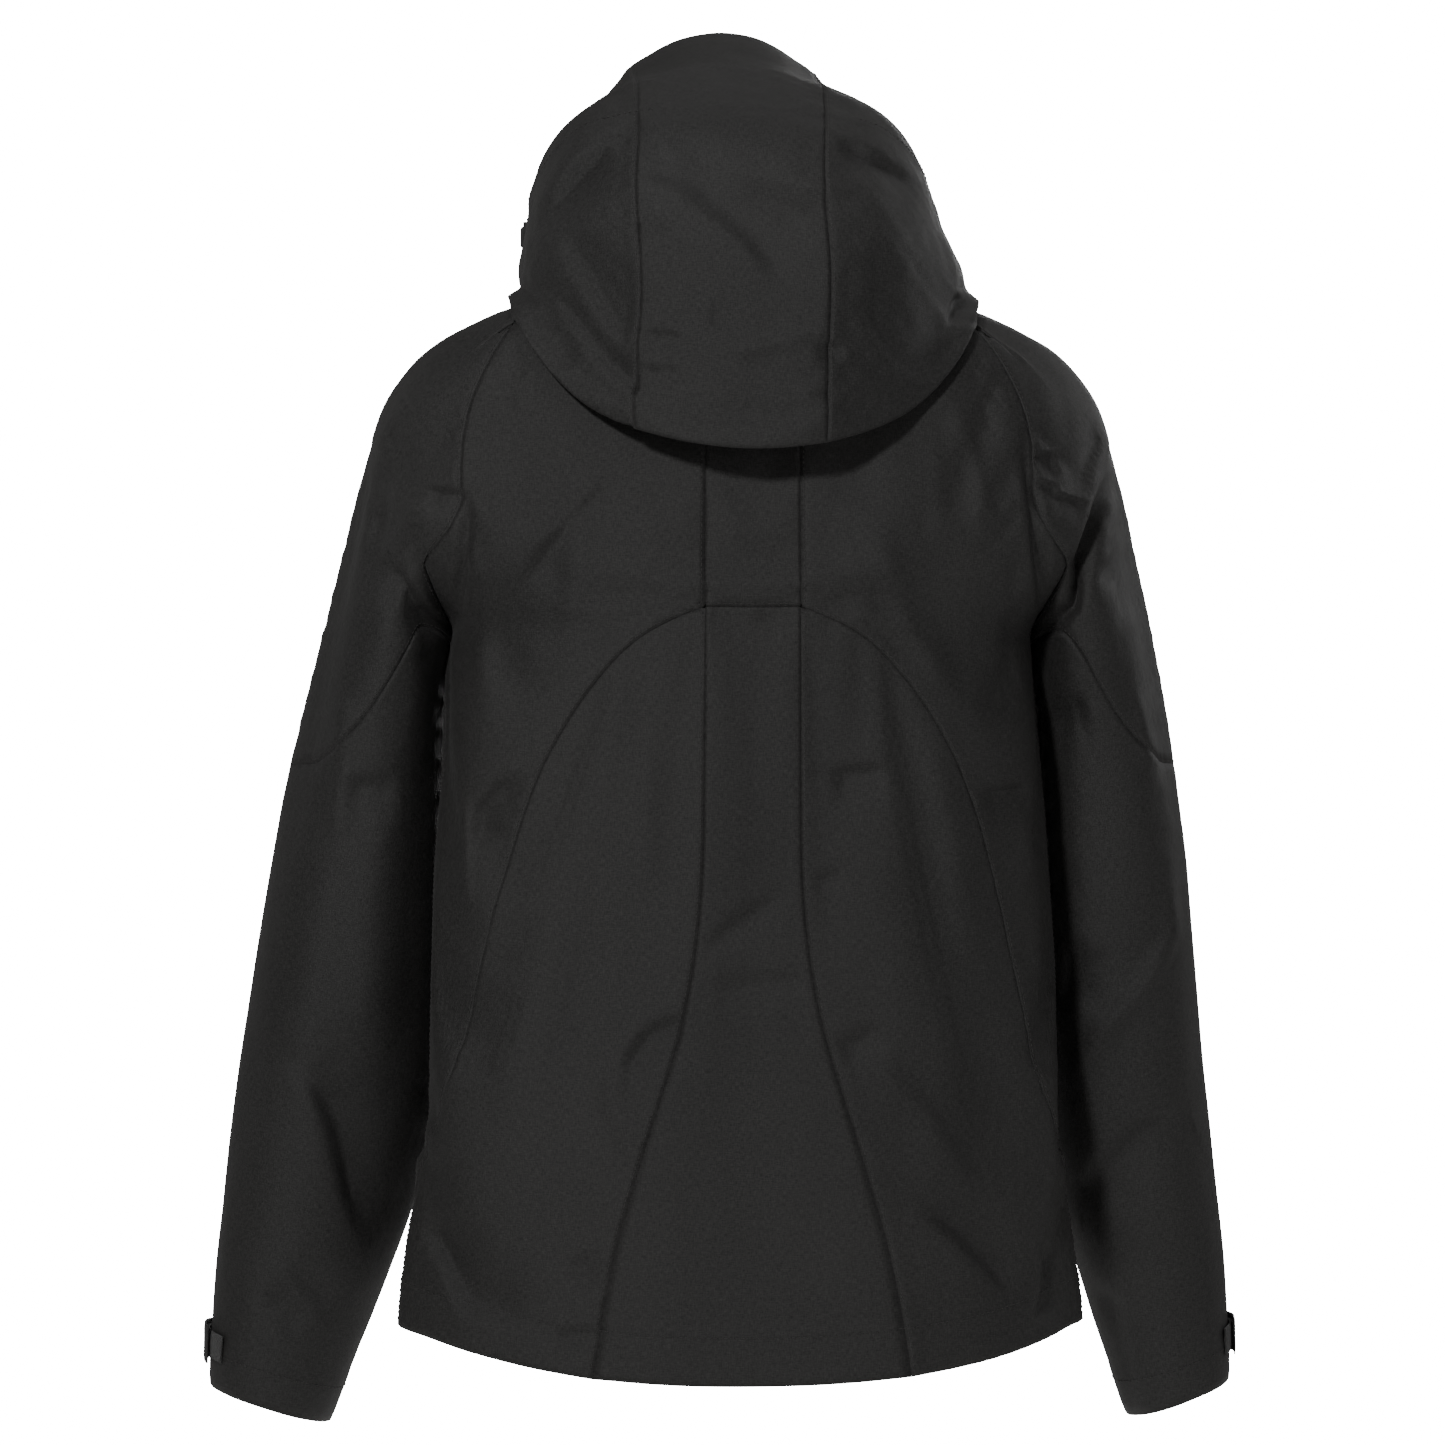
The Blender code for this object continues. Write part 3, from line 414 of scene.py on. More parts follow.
def chains(pairs):
    """Edges, as pairs of keys, put in order as chains."""
    links = {}
    for a, b in pairs:
        links.setdefault(a, []).append(b)
        links.setdefault(b, []).append(a)
    made = []
    starts = [k for k, near in links.items() if len(near) == 1] + list(links)
    used = set()
    for start in starts:
        if start in used:
            continue
        chain = [start]
        used.add(start)
        while True:
            onward = [k for k in links[chain[-1]] if k not in used]
            if not onward:
                break
            chain.append(onward[0])
            used.add(onward[0])
        if len(chain) > 3 and chain[0] in links[chain[-1]]:
            chain.append(chain[0])
        if len(chain) > 1:
            made.append(chain)
    return made


def add_map(mesh, turn=None):
    """A UV map in metres, from whichever of the turned axes each face looks along."""
    turn = np.eye(3) if turn is None else np.array(turn)
    points = coordinates(mesh)[0] @ turn
    normals = np.empty(len(mesh.polygons) * 3)
    mesh.polygons.foreach_get("normal", normals)
    axis = np.abs(normals.reshape(-1, 3) @ turn).argmax(1)
    totals = np.empty(len(mesh.polygons), np.int32)
    mesh.polygons.foreach_get("loop_total", totals)
    corners = np.empty(len(mesh.loops), np.int32)
    mesh.loops.foreach_get("vertex_index", corners)
    axis = np.repeat(axis, totals)
    first = np.where(axis == 0, 1, 0)
    second = np.where(axis == 2, 1, 2)
    flat = np.stack([points[corners, first], points[corners, second]], 1)
    layer = mesh.uv_layers.new(name="cloth")
    layer.uv.foreach_set("vector", flat.ravel())


def cut_size(mesh, way):
    """The flat cut behind a shaped skin: its greatest width and its length, and its area, in metres.

    way gives each point's place along the cut. Between two nearby values of it lies a strip of the skin,
    whose area over its length is its height.
    """
    points, _ = coordinates(mesh)
    mesh.calc_loop_triangles()
    a, b, c = (points[[t.vertices[k] for t in mesh.loop_triangles]] for k in range(3))
    one, two = b - a, c - a
    areas = np.linalg.norm(np.cross(one, two), axis=1) / 2
    rise_one, rise_two = way(b) - way(a), way(c) - way(a)
    across = (two**2).sum(1) * rise_one**2 + (one**2).sum(1) * rise_two**2
    across -= 2 * (one * two).sum(1) * rise_one * rise_two
    slope = np.sqrt(np.maximum(across, 0)) / np.maximum(2 * areas, 1e-12)
    place = way((a + b + c) / 3)
    strips = np.linspace(place.min(), place.max(), CUT_STRIPS + 1)
    which = np.clip(np.searchsorted(strips, place) - 1, 0, CUT_STRIPS - 1)
    strip_areas = np.bincount(which, areas, CUT_STRIPS)
    widths = np.bincount(which, areas * slope, CUT_STRIPS) / (strips[1] - strips[0])
    length = (strip_areas / np.maximum(widths, 1e-6)).sum()
    return [math.ceil(size * 1000) / 1000 for size in (widths.max(), length)], float(areas.sum())


# cuts that run round their middle, with the directions that the turn is measured from and towards
CUT_ROUND = {"hood_centre": ((0, -1, 0), (0, 0, 1)), "visor_facing": ((0, 0, 1), (1, 0, 0))}


def way_of(node):
    """How far along a piece's cut a point lies: over the head, round the face, down the sleeve or up."""
    if node in CUT_ROUND:
        middle = np.array(sum(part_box(node), Vector()) / 2)
        first, second = (np.array(direction) for direction in CUT_ROUND[node])
        return lambda points: np.arctan2((points - middle) @ second, (points - middle) @ first)
    body = BODY_OF[node]
    if body.startswith("sleeve_"):
        start, along = sleeve_axis(body.split("_")[1])
        return lambda points: (points - np.array(start)) @ np.array(along)
    return lambda points: points[:, 2]


def show(mesh, name, material, thick=0.0):
    """A mesh as a shown piece, with its thickness laid inwards."""
    mesh.name = name
    mesh.materials.append(material)
    mesh.shade_smooth()
    made = placed(name, mesh)
    if thick:
        wall = made.modifiers.new("thickness", "SOLIDIFY")
        wall.thickness = thick
        wall.offset = -1
    return made


# ---- how the pieces move
BODY_OF = {n: body for body, nodes in frame["record"]["behaviour"]["bodies"].items() for n in nodes}
# the middles of the armhole and the cuff, in from the corners of the sleeve's boxes, in x and z
ARMHOLE_IN, CUFF_IN = (0.028, 0.062), (0.045, 0.02)


def sleeve_axis(side_word):
    """The middle of the armhole, and the direction from it to the cuff."""
    upper_low, upper_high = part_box(f"sleeve_upper_{side_word}")
    lower_low, lower_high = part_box(f"sleeve_lower_{side_word}")
    outward = dict(SIDES)[side_word]
    inner_x = (upper_low.x if outward > 0 else upper_high.x) + outward * ARMHOLE_IN[0]
    outer_x = (lower_high.x if outward > 0 else lower_low.x) - outward * CUFF_IN[0]
    top = Vector((inner_x, (upper_low.y + upper_high.y) / 2, upper_high.z - ARMHOLE_IN[1]))
    cuff = Vector((outer_x, (lower_low.y + lower_high.y) / 2, lower_low.z + CUFF_IN[1]))
    return top, (cuff - top).normalized()


def move_with(piece, body):
    """A sleeve's or the hood's piece has its placing baked into its mesh; any other rides on its body."""
    if body in ("sleeve_left", "sleeve_right"):
        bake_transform(piece)
    elif body == "hood":
        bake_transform(piece)
    else:
        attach(piece, body)


def stand_for(node, piece):
    """A piece that replaces one CAD node moves as that node does."""
    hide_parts(node)
    move_with(piece, BODY_OF[node])


def grain_turn(body):
    """The cloth's grain runs down the sleeve on a sleeve, and straight down elsewhere."""
    if not body.startswith("sleeve_"):
        return None
    _, along = sleeve_axis(body.split("_")[1])
    across = Vector((0, 1, 0)).cross(along).normalized()
    depth = along.cross(across)
    return Matrix((across, depth, along)).transposed()


# ---- panels
def join_arm(word):
    """The shoulder and the upper sleeve are cut in one piece, so their skins are joined at the armhole."""
    work = bmesh.new()
    for name in (f"shoulder_{word}", f"sleeve_upper_{word}"):
        work.from_mesh(subdivided(skin_of(name), LEVELS, name))
        if name.startswith("shoulder"):
            count = len(work.verts)
    work.verts.index_update()
    rims = []
    for of_shoulder in (True, False):
        rims.append([v for v in work.verts if v.is_boundary and (v.index < count) == of_shoulder])
    trees = [tree_of([v.co for v in rim]) for rim in rims]
    bridged = []
    for rim, other in zip(rims, reversed(trees)):
        close = {v for v in rim if other.find(v.co)[2] < SEAM_REACH}
        bridged += [e for e in work.edges if e.is_boundary and all(v in close for v in e.verts)]
    bmesh.ops.bridge_loops(work, edges=bridged)
    work.normal_update()
    bridges = [f for f in work.faces if len(f.verts) == 3]
    flip = [f for f in bridges if f.normal.dot(f.calc_center_median() - CHEST) < 0]
    bmesh.ops.reverse_faces(work, faces=flip)
    ring = tree_of([v.co for v in rims[1]])
    soften_zone(work, ring)
    return mesh_from(work, f"arm_{word}")


def soften_zone(work, ring, reach=0.034, passes=26):
    """Evens out the bend at the armhole, leaving the open edges where they are."""
    inner = [v for v in work.verts if not v.is_boundary]
    weights = [(v, 1 - ring.find(v.co)[2] / reach) for v in inner]
    near = [(v, 0.5 * min(w * 1.6, 1.0)) for v, w in weights if w > 0]
    for _ in range(passes):
        targets = [
            v.co.lerp(sum((e.other_vert(v).co for e in v.link_edges), Vector()) / len(v.link_edges), w)
            for v, w in near
        ]
        for (v, _), place in zip(near, targets):
            v.co = place


CHEST = Vector((0, 0.04, -0.30))


class Panel:
    """One sewn panel: its mesh, what it stands for, and how it moves."""

    def __init__(self, name, nodes, mesh):
        self.name = name
        self.nodes = nodes
        self.mesh = mesh
        self.body = BODY_OF[nodes[-1]]
        self.cut = cut_size(mesh, way_of(nodes[-1]))
        self.rest, self.normals = coordinates(mesh)
        self.rim, self.rim_pairs = edge_points(mesh)
        self.rank = next(i for i, start in enumerate(STITCH_ORDER) if name.startswith(start))


# the panel named first carries the topstitching of a seam between two
STITCH_ORDER = (
    "arm_", "hood_left", "hood_right", "back_upper_left",
    "back_upper_right", "back_upper_centre", "back_lower_left", "back_lower_right",
    "collar", "front_", "sleeve_lower", "back_lower_centre", "hood_centre",
)


def make_panels():
    panels = []
    for word, _ in SIDES:
        panels.append(Panel(f"arm_{word}", [f"shoulder_{word}", f"sleeve_upper_{word}"], join_arm(word)))
    for name, node in NODES.items():
        slot = node.data.materials[0].name
        if not slot.startswith("shell") or name.startswith(("cuff_tab", "shoulder_", "sleeve_upper_")):
            continue
        panels.append(Panel(name, [name], subdivided(skin_of(name), LEVELS, name)))
    return panels


# ---- creases
# Each crease is its half-width, its depth, and the x and z of each point of a line over the back or the
# front, all in millimetres. A depth below zero makes a ridge. The cloth drops steeply before the line,
# facing its left-hand side, and rises slowly after it.
BACK_CREASES = (
    (6, 7, -242, -140, -250, -172, -251, -208),
    (7, 7, -188, -271, -214, -249, -250, -208),
    (6, 4, -188, -291, -211, -267),
    (5, 3.5, -184, -175, -217, -169),
    (14, 2, -231, -152, -232, -213),
    (9, -2.5, -268, -301, -273, -349),
    (10, 3, -231, -364, -271, -364),
    (8, -2, -268, -342, -275, -407),
    (13, 6, -305, -548, -288, -565, -274, -594, -263, -641, -245, -682),
    (9, 3.5, -329, -709, -299, -737),
    (7, 2.5, -309, -690, -278, -723),
    (16, -3, -241, -349, -250, -444, -250, -553),
    (12, 4, -90, -163, -115, -189, -135, -213, -152, -240),
    (8, -1.8, -173, -233, -177, -308),
    (9, -1.6, -101, -152, -116, -213, -122, -308),
    (7, -1.6, -142, -77, -149, -118, -163, -152),
    (8, 5, -148, -359, -166, -364, -180, -380, -184, -412),
    (9, 4, -44, -516, -67, -527, -86, -552),
    (8, -2.5, -86, -533, -92, -567, -74, -614),
    (11, 5.5, -225, -648, -203, -675, -186, -705, -142, -716),
    (5, 2.5, -122, -674, -99, -696),
    (5, 2.5, -99, -718, -132, -724),
    (7, 2, -183, -369, -182, -444),
    (7, 3.6, 90, -354, 50, -357),
    (5, 2.4, 16, -436, -10, -452, -32, -470),
    (6, 1.6, 41, -489, -33, -494),
    (7, 3.4, 84, -522, 55, -537),
    (4, 1.6, 59, -420, 39, -428),
    (12, -1.8, -67, -335, -71, -444),
    (11, -2.4, 75, -186, 96, -240, 133, -308),
    (16, -3, 109, -308, 126, -369, 143, -444, 150, -512),
    (9, -1.8, 130, -104, 150, -152, 156, -213),
    (16, 3.2, 89, -533, 123, -573, 167, -635),
    (12, 6.5, 112, -636, 143, -660, 168, -686, 180, -709),
    (9, 5, 213, -667, 206, -696, 195, -724),
    (7, 3.4, 197, -361, 154, -369),
    (5, 3, 210, -146, 190, -147),
    (4, 2.6, 209, -167, 191, -164),
    (5, 3.2, 231, -178, 201, -172),
    (7, 4, 258, -172, 254, -213, 235, -235),
    (7, 3, 267, -196, 256, -254),
    (9, 4, 233, -308, 202, -319),
    (6, -2.2, 266, -301, 281, -356),
    (7, -3.4, 294, -417, 296, -465, 277, -501, 251, -529, 231, -564),
    (13, 5.5, 311, -586, 279, -601, 258, -622, 231, -656),
    (9, 3, 228, -471, 225, -519),
    (6, 3, 254, -709, 245, -740),
    (8, 5.5, -90, 62, -112, 45, -124, 28, -137, 3),
    (8, -3, -84, 101, -105, 77, -122, 54),
    (15, 4, -90, 47, -40, 33, 1, -6, 27, -43),
    (7, 3, 63, 20, 35, 21, -16, 35),
    (8, 5, 127, 30, 97, 45, 52, 66),
    (6, -2.6, 84, 92, 46, 111),
    (14, 5, -124, 5, -103, -40, -80, -78),
    (6, 3.6, -130, -36, -97, -88, -63, -118),
    (5, 2.2, -54, 1, -82, 1),
    (5, 2.6, -46, -72, -74, -70),
    (6, 2, -47, -93, -74, -95),
    (5, 2.4, 59, -78, 39, -77),
    (6, -1.8, -18, -28, -35, -57, -29, -72, -10, -81, 39, -70),
    (8, 1.8, -33, 116, -61, 100),
    (8, 2.2, -67, 79, -95, 64),
    (6, 4, 137, -10, 143, -36, 133, -62),
    (12, 2, 82, -9, 80, -57, 96, -85),
)
# a groove drops on both sides
BACK_GROOVES = (
    (5.5, 11, 255, -144, 240, -184, 226, -218, 219, -246, 201, -267),
    (4, 6, 184, -131, 190, -186, 201, -254),
    (4, 4, -186, -172, -191, -240, -191, -267),
)
FRONT_CREASES = (
    (8, 4.2, -200, -165, -150, -200),
    (8, 4.2, 200, -165, 150, -205),
    (12, 4, -190, -230, -120, -290),
    (12, 4, 190, -235, 125, -300),
    (12, 3.4, -60, -560, -130, -620),
    (12, 3.4, 60, -540, 120, -610),
    (9, 4.4, -270, -300, -240, -360),
    (9, 4.4, 270, -300, 240, -360),
    (9, 4, -310, -480, -270, -505),
    (9, 4, 310, -470, 270, -500),
)
MM = 0.001
CREASE_SIDE = 0.20, 0.60  # a crease fades out on faces turned less than this far its way
STEEP, SLOW = 0.50, 2.4  # a crease's two slopes, in half-widths
CREASE_DEPTH = 1.3


def crease_heights(points, half, depth, line, groove):
    """How far each point, in x and z, moves along its normal for one crease."""
    line = np.reshape(line, (-1, 2)) * MM
    half, depth = half * MM, depth * MM
    spans = np.diff(line, axis=0)
    lengths = np.linalg.norm(spans, axis=1)
    total = lengths.sum()
    best = np.full(len(points), np.inf)
    side = np.zeros(len(points))
    share = np.zeros(len(points))
    before = 0.0
    for start, span, length in zip(line[:-1], spans, lengths):
        away = points - start
        t = np.clip(away @ span / length**2, 0, 1)
        gap = away - t[:, None] * span
        distance = np.linalg.norm(gap, axis=1)
        cross = span[0] * away[:, 1] - span[1] * away[:, 0]
        closer = distance < best
        best = np.where(closer, distance, best)
        side = np.where(closer, np.sign(cross), side)
        share = np.where(closer, (before + t * length) / total, share)
        before += length
    fade = 0.2 + 0.8 * step(share, 0.0, 0.3) * step(1 - share, 0.0, 0.3)
    if groove or depth < 0:
        return -depth * fade * np.exp(-((best / half) ** 2))
    end = np.minimum(share, 1 - share) <= 0
    signed = best * side
    reach = np.where((signed > 0) | end, SLOW * half, STEEP * half)
    return -depth * fade * np.exp(-((best / reach) ** 2)) * np.where(end, np.exp(-best / half), 1.0)


# the slow uneven hang of the cloth: how quickly it varies along x, y and z, its height and a seed
RIPPLES = (((9, 9, 3.0), 0.0030, 3.0), ((22, 22, 5), 0.0018, 11.0), ((48, 48, 16), 0.0006, 5.0))


def creased(points, normals):
    """All creases, and the slow uneven hang of the cloth."""
    moved = np.zeros(len(points))
    flat = points[:, (0, 2)]
    for creases, toward in ((BACK_CREASES, -1), (BACK_GROOVES, -1), (FRONT_CREASES, 1)):
        facing = CREASE_DEPTH * step(normals[:, 1] * toward, *CREASE_SIDE)
        for half, depth, *line in creases:
            moved += facing * crease_heights(flat, half, depth, line, creases is BACK_GROOVES)
    for scale, height, seed in RIPPLES:
        places = points * scale + seed
        moved += height * np.array([noise.noise(Vector(p)) for p in places])
    return moved


# Each push moves the cloth near a place: the panels that it acts on, its centre, its reach and its shift.
PUSHES = (
    (("arm_left", "sleeve_lower_left"), (-0.215, 0.055, -0.290), (0.040, 0.090, 0.085), (0.0042, 0, 0)),
    (("front_left", "back_"), (-0.200, 0.055, -0.290), (0.030, 0.090, 0.085), (-0.0030, 0, 0)),
    (("arm_left", "sleeve_lower_left"), (-0.206, 0.055, -0.264), (0.026, 0.080, 0.030), (0.0045, 0, 0)),
    (("hood_left",), (-0.146, 0.020, -0.020), (0.040, 0.120, 0.030), (-0.0035, 0, 0)),
    (("hood_right",), (0.146, 0.020, -0.020), (0.040, 0.120, 0.034), (0.0060, 0, 0)),
    (("hood_left",), (-0.161, 0.006, -0.038), (0.030, 0.120, 0.016), (0.0045, 0, -0.003)),
    (("hood_right",), (0.161, 0.006, -0.038), (0.030, 0.120, 0.016), (-0.0030, 0, -0.003)),
)


def pushed(name, points):
    moved = np.zeros_like(points)
    for starts, centre, reach, shift in PUSHES:
        if name.startswith(starts):
            far = (((points - centre) / reach) ** 2).sum(1)
            moved += (np.clip(1 - far, 0, 1) ** 2)[:, None] * np.array(shift)
    return moved


# ---- draping
def drape(panels):
    """A coarse copy of the jacket is sewn together and hung as slightly slack cloth, held softly to its
    shape. Returns a function that gives how far each point moved."""
    work = bmesh.new()
    for panel in panels:
        for node in panel.nodes:
            coarse = subdivided(skin_of(node), 1, "coarse")
            work.from_mesh(coarse)
            bpy.data.meshes.remove(coarse)
    rims = [v for v in work.verts if v.is_boundary]
    bmesh.ops.remove_doubles(work, verts=rims, dist=0.0026)
    work.verts.ensure_lookup_table()
    rest = np.array([v.co for v in work.verts])
    open_edge = np.array([v.is_boundary for v in work.verts])
    free_end = rest[:, 2] < LOWEST + FREE_HEM
    hood_end = (rest[:, 1] > FREE_HOOD[0]) & (rest[:, 2] > FREE_HOOD[1])
    held = open_edge & ~free_end & ~hood_end
    slack = np.array([0.5 + 0.9 * noise.noise(Vector(p) * 7.0) for p in rest])
    hold = HOLD + HOLD_TOP * step(rest[:, 2], *HOLD_TOP_Z)
    hold[held] = 1.0
    data = mesh_from(work, "draped")
    cloth = placed("draped", data)
    for name, weights in (("hold", hold), ("slack", np.clip(slack, 0, 1))):
        group = cloth.vertex_groups.new(name=name)
        for i, weight in enumerate(weights):
            group.add([i], float(weight), "REPLACE")
    settings = cloth.modifiers.new("drape", "CLOTH").settings
    for setting, value in DRAPE_CLOTH.items():
        setattr(settings, setting, value)
    scene = bpy.context.scene
    for number in range(1, DRAPE_FRAMES + 1):
        scene.frame_set(number)
    graph = bpy.context.evaluated_depsgraph_get()
    hung = bpy.data.meshes.new_from_object(cloth.evaluated_get(graph))
    places, _ = coordinates(hung)
    scene.frame_set(1)
    bpy.data.objects.remove(cloth)
    moved = places - rest
    far = np.linalg.norm(moved, axis=1)
    moved *= (DRAPE_CAP * np.tanh(far / DRAPE_CAP) / np.maximum(far, 1e-9))[:, None]
    tree = tree_of(rest)

    def at(points):
        out = np.zeros_like(points)
        for i, point in enumerate(points):
            near = tree.find_n(point, 5)
            weights = [1 / (distance + 0.002) ** 2 for _, _, distance in near]
            total = sum(weights)
            out[i] = sum(moved[k] * (w / total) for (_, k, _), w in zip(near, weights))
        return out

    return at


# ---- seams
class Seams:
    """Where the panels' edges meet, and how each edge moves to close on its neighbour."""

    def __init__(self, panels):
        self.owners = np.concatenate([np.full(len(p.rim), i) for i, p in enumerate(panels)])
        self.places = np.concatenate([p.rest[p.rim] for p in panels])
        trees = [tree_of(p.rest[p.rim]) for p in panels]
        self.starts = np.cumsum([0] + [len(p.rim) for p in panels])
        self.partner = np.full(len(self.places), -1)
        closest = np.full(len(self.places), SEAM_REACH)
        for i, tree in enumerate(trees):
            others = np.flatnonzero(self.owners != i)
            index, distance = nearest(tree, self.places[others])
            better = distance < closest[others]
            chosen = others[better]
            closest[chosen] = distance[better]
            self.partner[chosen] = self.starts[i] + index[better]

    def rim_of(self, i):
        return slice(self.starts[i], self.starts[i + 1])


def turned_edges():
    """The facings' points, finely spaced, which show where an edge is turned up."""
    names = [n for n in NODES if n in ("hem_facing", "visor_facing") or n.startswith("cuff_facing")]
    return np.concatenate([coordinates(subdivided(skin_of(name), 2, "facing"))[0] for name in names])


def shape_panels(panels):
    """Drapes and creases the panels, closes their seams and rolls their edges in."""
    seams = Seams(panels)
    hang = drape(panels)
    facing_tree = tree_of(turned_edges())
    for panel in panels:
        panel.moved = hang(panel.rest) + panel.normals * creased(panel.rest, panel.normals)[:, None]
        panel.moved += pushed(panel.name, panel.rest)
        panel.points = panel.rest + panel.moved
    rims = np.concatenate([p.points[p.rim] for p in panels])
    for i, panel in enumerate(panels):
        own = seams.rim_of(i)
        partner = seams.partner[own]
        sewn = partner >= 0
        pull = np.where(sewn[:, None], (rims[partner] - rims[own]) * 0.5, 0.0)
        rank = np.array([panels[seams.owners[p]].rank if p >= 0 else -1 for p in partner])
        carries = sewn & (rank >= panel.rank)
        panel.stitched = {k for k, flag in zip(panel.rim, carries) if flag}
        panel.free = {k for k, is_sewn in zip(panel.rim, sewn) if not is_sewn}
        rim_tree = tree_of(panel.points[panel.rim])
        index, distance = nearest(rim_tree, panel.points)
        fade = np.clip(1 - distance / CLOSE_REACH, 0, 1) ** 2
        for k in np.flatnonzero(fade):
            near = rim_tree.find_n(panel.points[k], PULL_NEIGHBOURS)
            weights = np.exp([-(((found[2] - distance[k]) / PULL_BLEND) ** 2) for found in near])
            shift = weights @ pull[[found[1] for found in near]] / weights.sum()
            panel.points[k] += shift * fade[k] * OVERLAP
        roll = np.clip(1 - distance / ROLL_WIDTH, 0, 1) ** 1.5 * ROLL_DEPTH
        lift = RIDGE * carries[index] * np.exp(-(((distance - RIDGE_PLACE) / RIDGE_WIDTH) ** 2))
        _, beyond = nearest(facing_tree, panel.rest)
        lift += FACING_STEP * step(beyond, 0.0085, 0.0055)
        panel.points += panel.normals * (lift - roll)[:, None]
        move_points(panel.mesh, panel.points)
        _, panel.normals = coordinates(panel.mesh)


class Follower:
    """Moves the pieces sewn to the panels as the panels under them were moved."""

    def __init__(self, panels):
        self.tree = tree_of(np.concatenate([p.rest[::3] for p in panels]))
        self.moved = np.concatenate([p.moved[::3] for p in panels])

    def at(self, points):
        out = np.zeros_like(points)
        for i, point in enumerate(points):
            near = self.tree.find_n(point, 6)
            out[i] = sum(self.moved[k] for _, k, _ in near) / len(near)
        return out


# ---- stitches
class Surface:
    """All the panels' outer surfaces, to find the place and the panel under a point."""

    def __init__(self, panels):
        corners, faces, self.owner = [], [], []
        for i, panel in enumerate(panels):
            base = len(corners)
            corners += [Vector(p) for p in panel.points]
            for polygon in panel.mesh.polygons:
                faces.append([base + k for k in polygon.vertices])
                self.owner.append(i)
        self.tree = BVHTree.FromPolygons(corners, faces)

    def under(self, point):
        place, normal, face, _ = self.tree.find_nearest(point)
        return place, normal, self.owner[face]


def dash_template():
    """One stitch, lying along X: a plump thread that dives into the cloth at both ends."""
    sides = 6
    rings = ((-0.5, 0.25, -0.9), (-0.34, 0.9, 0.0), (0.0, 1.0, 0.35), (0.34, 0.9, 0.0), (0.5, 0.25, -0.9))
    points = []
    for along, radius, rise in rings:
        for k in range(sides):
            turn = math.tau * k / sides
            around = (radius * math.cos(turn), radius * math.sin(turn) + rise)
            points.append((along * STITCH_LONG, around[0] * STITCH_RADIUS, around[1] * STITCH_RADIUS))
    faces = []
    for i in range(len(rings) - 1):
        for k in range(sides):
            a, b = i * sides + k, i * sides + (k + 1) % sides
            faces.append((a, b, b + sides, a + sides))
    faces.append(tuple(reversed(range(sides))))
    faces.append(tuple(range((len(rings) - 1) * sides, len(rings) * sides)))
    return np.array(points), faces


def dashes_along(line, surface, made):
    """Stitches along a line, each noted with the panel that it lies on."""
    pitch = STITCH_LONG + STITCH_GAP
    spans = np.linalg.norm(np.diff(line, axis=0), axis=1)
    reach = np.concatenate([[0], np.cumsum(spans)])
    for start in np.arange(pitch, reach[-1] - pitch, pitch):
        ends = [
            Vector([np.interp(start + offset, reach, line[:, axis]) for axis in range(3)])
            for offset in (0.0, STITCH_LONG)
        ]
        place, normal, owner = surface.under((ends[0] + ends[1]) / 2)
        along = ends[1] - ends[0]
        along -= normal * along.dot(normal)
        if along.length < STITCH_LONG * 0.5:
            continue
        along.normalize()
        made.setdefault(owner, []).append((place + normal * STITCH_RADIUS * 0.5, along, normal))


def stitch_mesh(dashes, name):
    template, faces = dash_template()
    places = np.array([d[0] for d in dashes])
    along = np.array([d[1] for d in dashes])
    normal = np.array([d[2] for d in dashes])
    across = np.cross(normal, along)
    points = (
        places[:, None]
        + template[None, :, 0, None] * along[:, None]
        + template[None, :, 1, None] * across[:, None]
        + template[None, :, 2, None] * normal[:, None]
    ).reshape(-1, 3)
    count = len(template)
    all_faces = [[i * count + k for k in face] for i in range(len(dashes)) for face in faces]
    data = bpy.data.meshes.new(name)
    data.from_pydata([tuple(p) for p in points], [], all_faces)
    return data


def offset_line(panel, chain, inset):
    """A boundary chain moved into its panel, over its surface."""
    points = panel.points
    line = points[chain]
    along = np.gradient(line, axis=0)
    inward = np.cross(panel.normals[chain], along)
    inward /= np.maximum(np.linalg.norm(inward, axis=1), 1e-9)[:, None]
    middle = tree_of(points)
    probe = line[len(line) // 2] + inward[len(line) // 2] * 0.006
    opposite = line[len(line) // 2] - inward[len(line) // 2] * 0.006
    if middle.find(probe)[2] > middle.find(opposite)[2]:
        inward = -inward
    moved = line + inward * inset
    for _ in range(4):
        moved[1:-1] = (moved[:-2] + 2 * moved[1:-1] + moved[2:]) / 4
    return moved


def split_at_corners(points, chain, sharpest=0.6):
    """Cuts a chain where it turns hard, so that each run of stitches is smooth."""
    runs = [[chain[0]]]
    for before, here, after in zip(chain, chain[1:], chain[2:]):
        runs[-1].append(here)
        one, two = points[here] - points[before], points[after] - points[here]
        lengths = np.linalg.norm(one) * np.linalg.norm(two)
        if one @ two < sharpest * lengths:
            runs.append([here])
    runs[-1].append(chain[-1])
    return [run for run in runs if len(run) > 4]


def facing_line(name, free_tree, away, follower):
    """The far edge of a facing, in order, smooth enough to sew along."""
    mesh = subdivided(skin_of(name), 1, "facing_edge")
    points, _ = coordinates(mesh)
    points += follower.at(points)
    _, pairs = edge_points(mesh)
    far = {k for pair in pairs for k in pair if free_tree.find(points[k])[2] > away}
    kept = [pair for pair in pairs if pair[0] in far and pair[1] in far]
    return [points[chain] for chain in chains(kept) if len(chain) > 6]


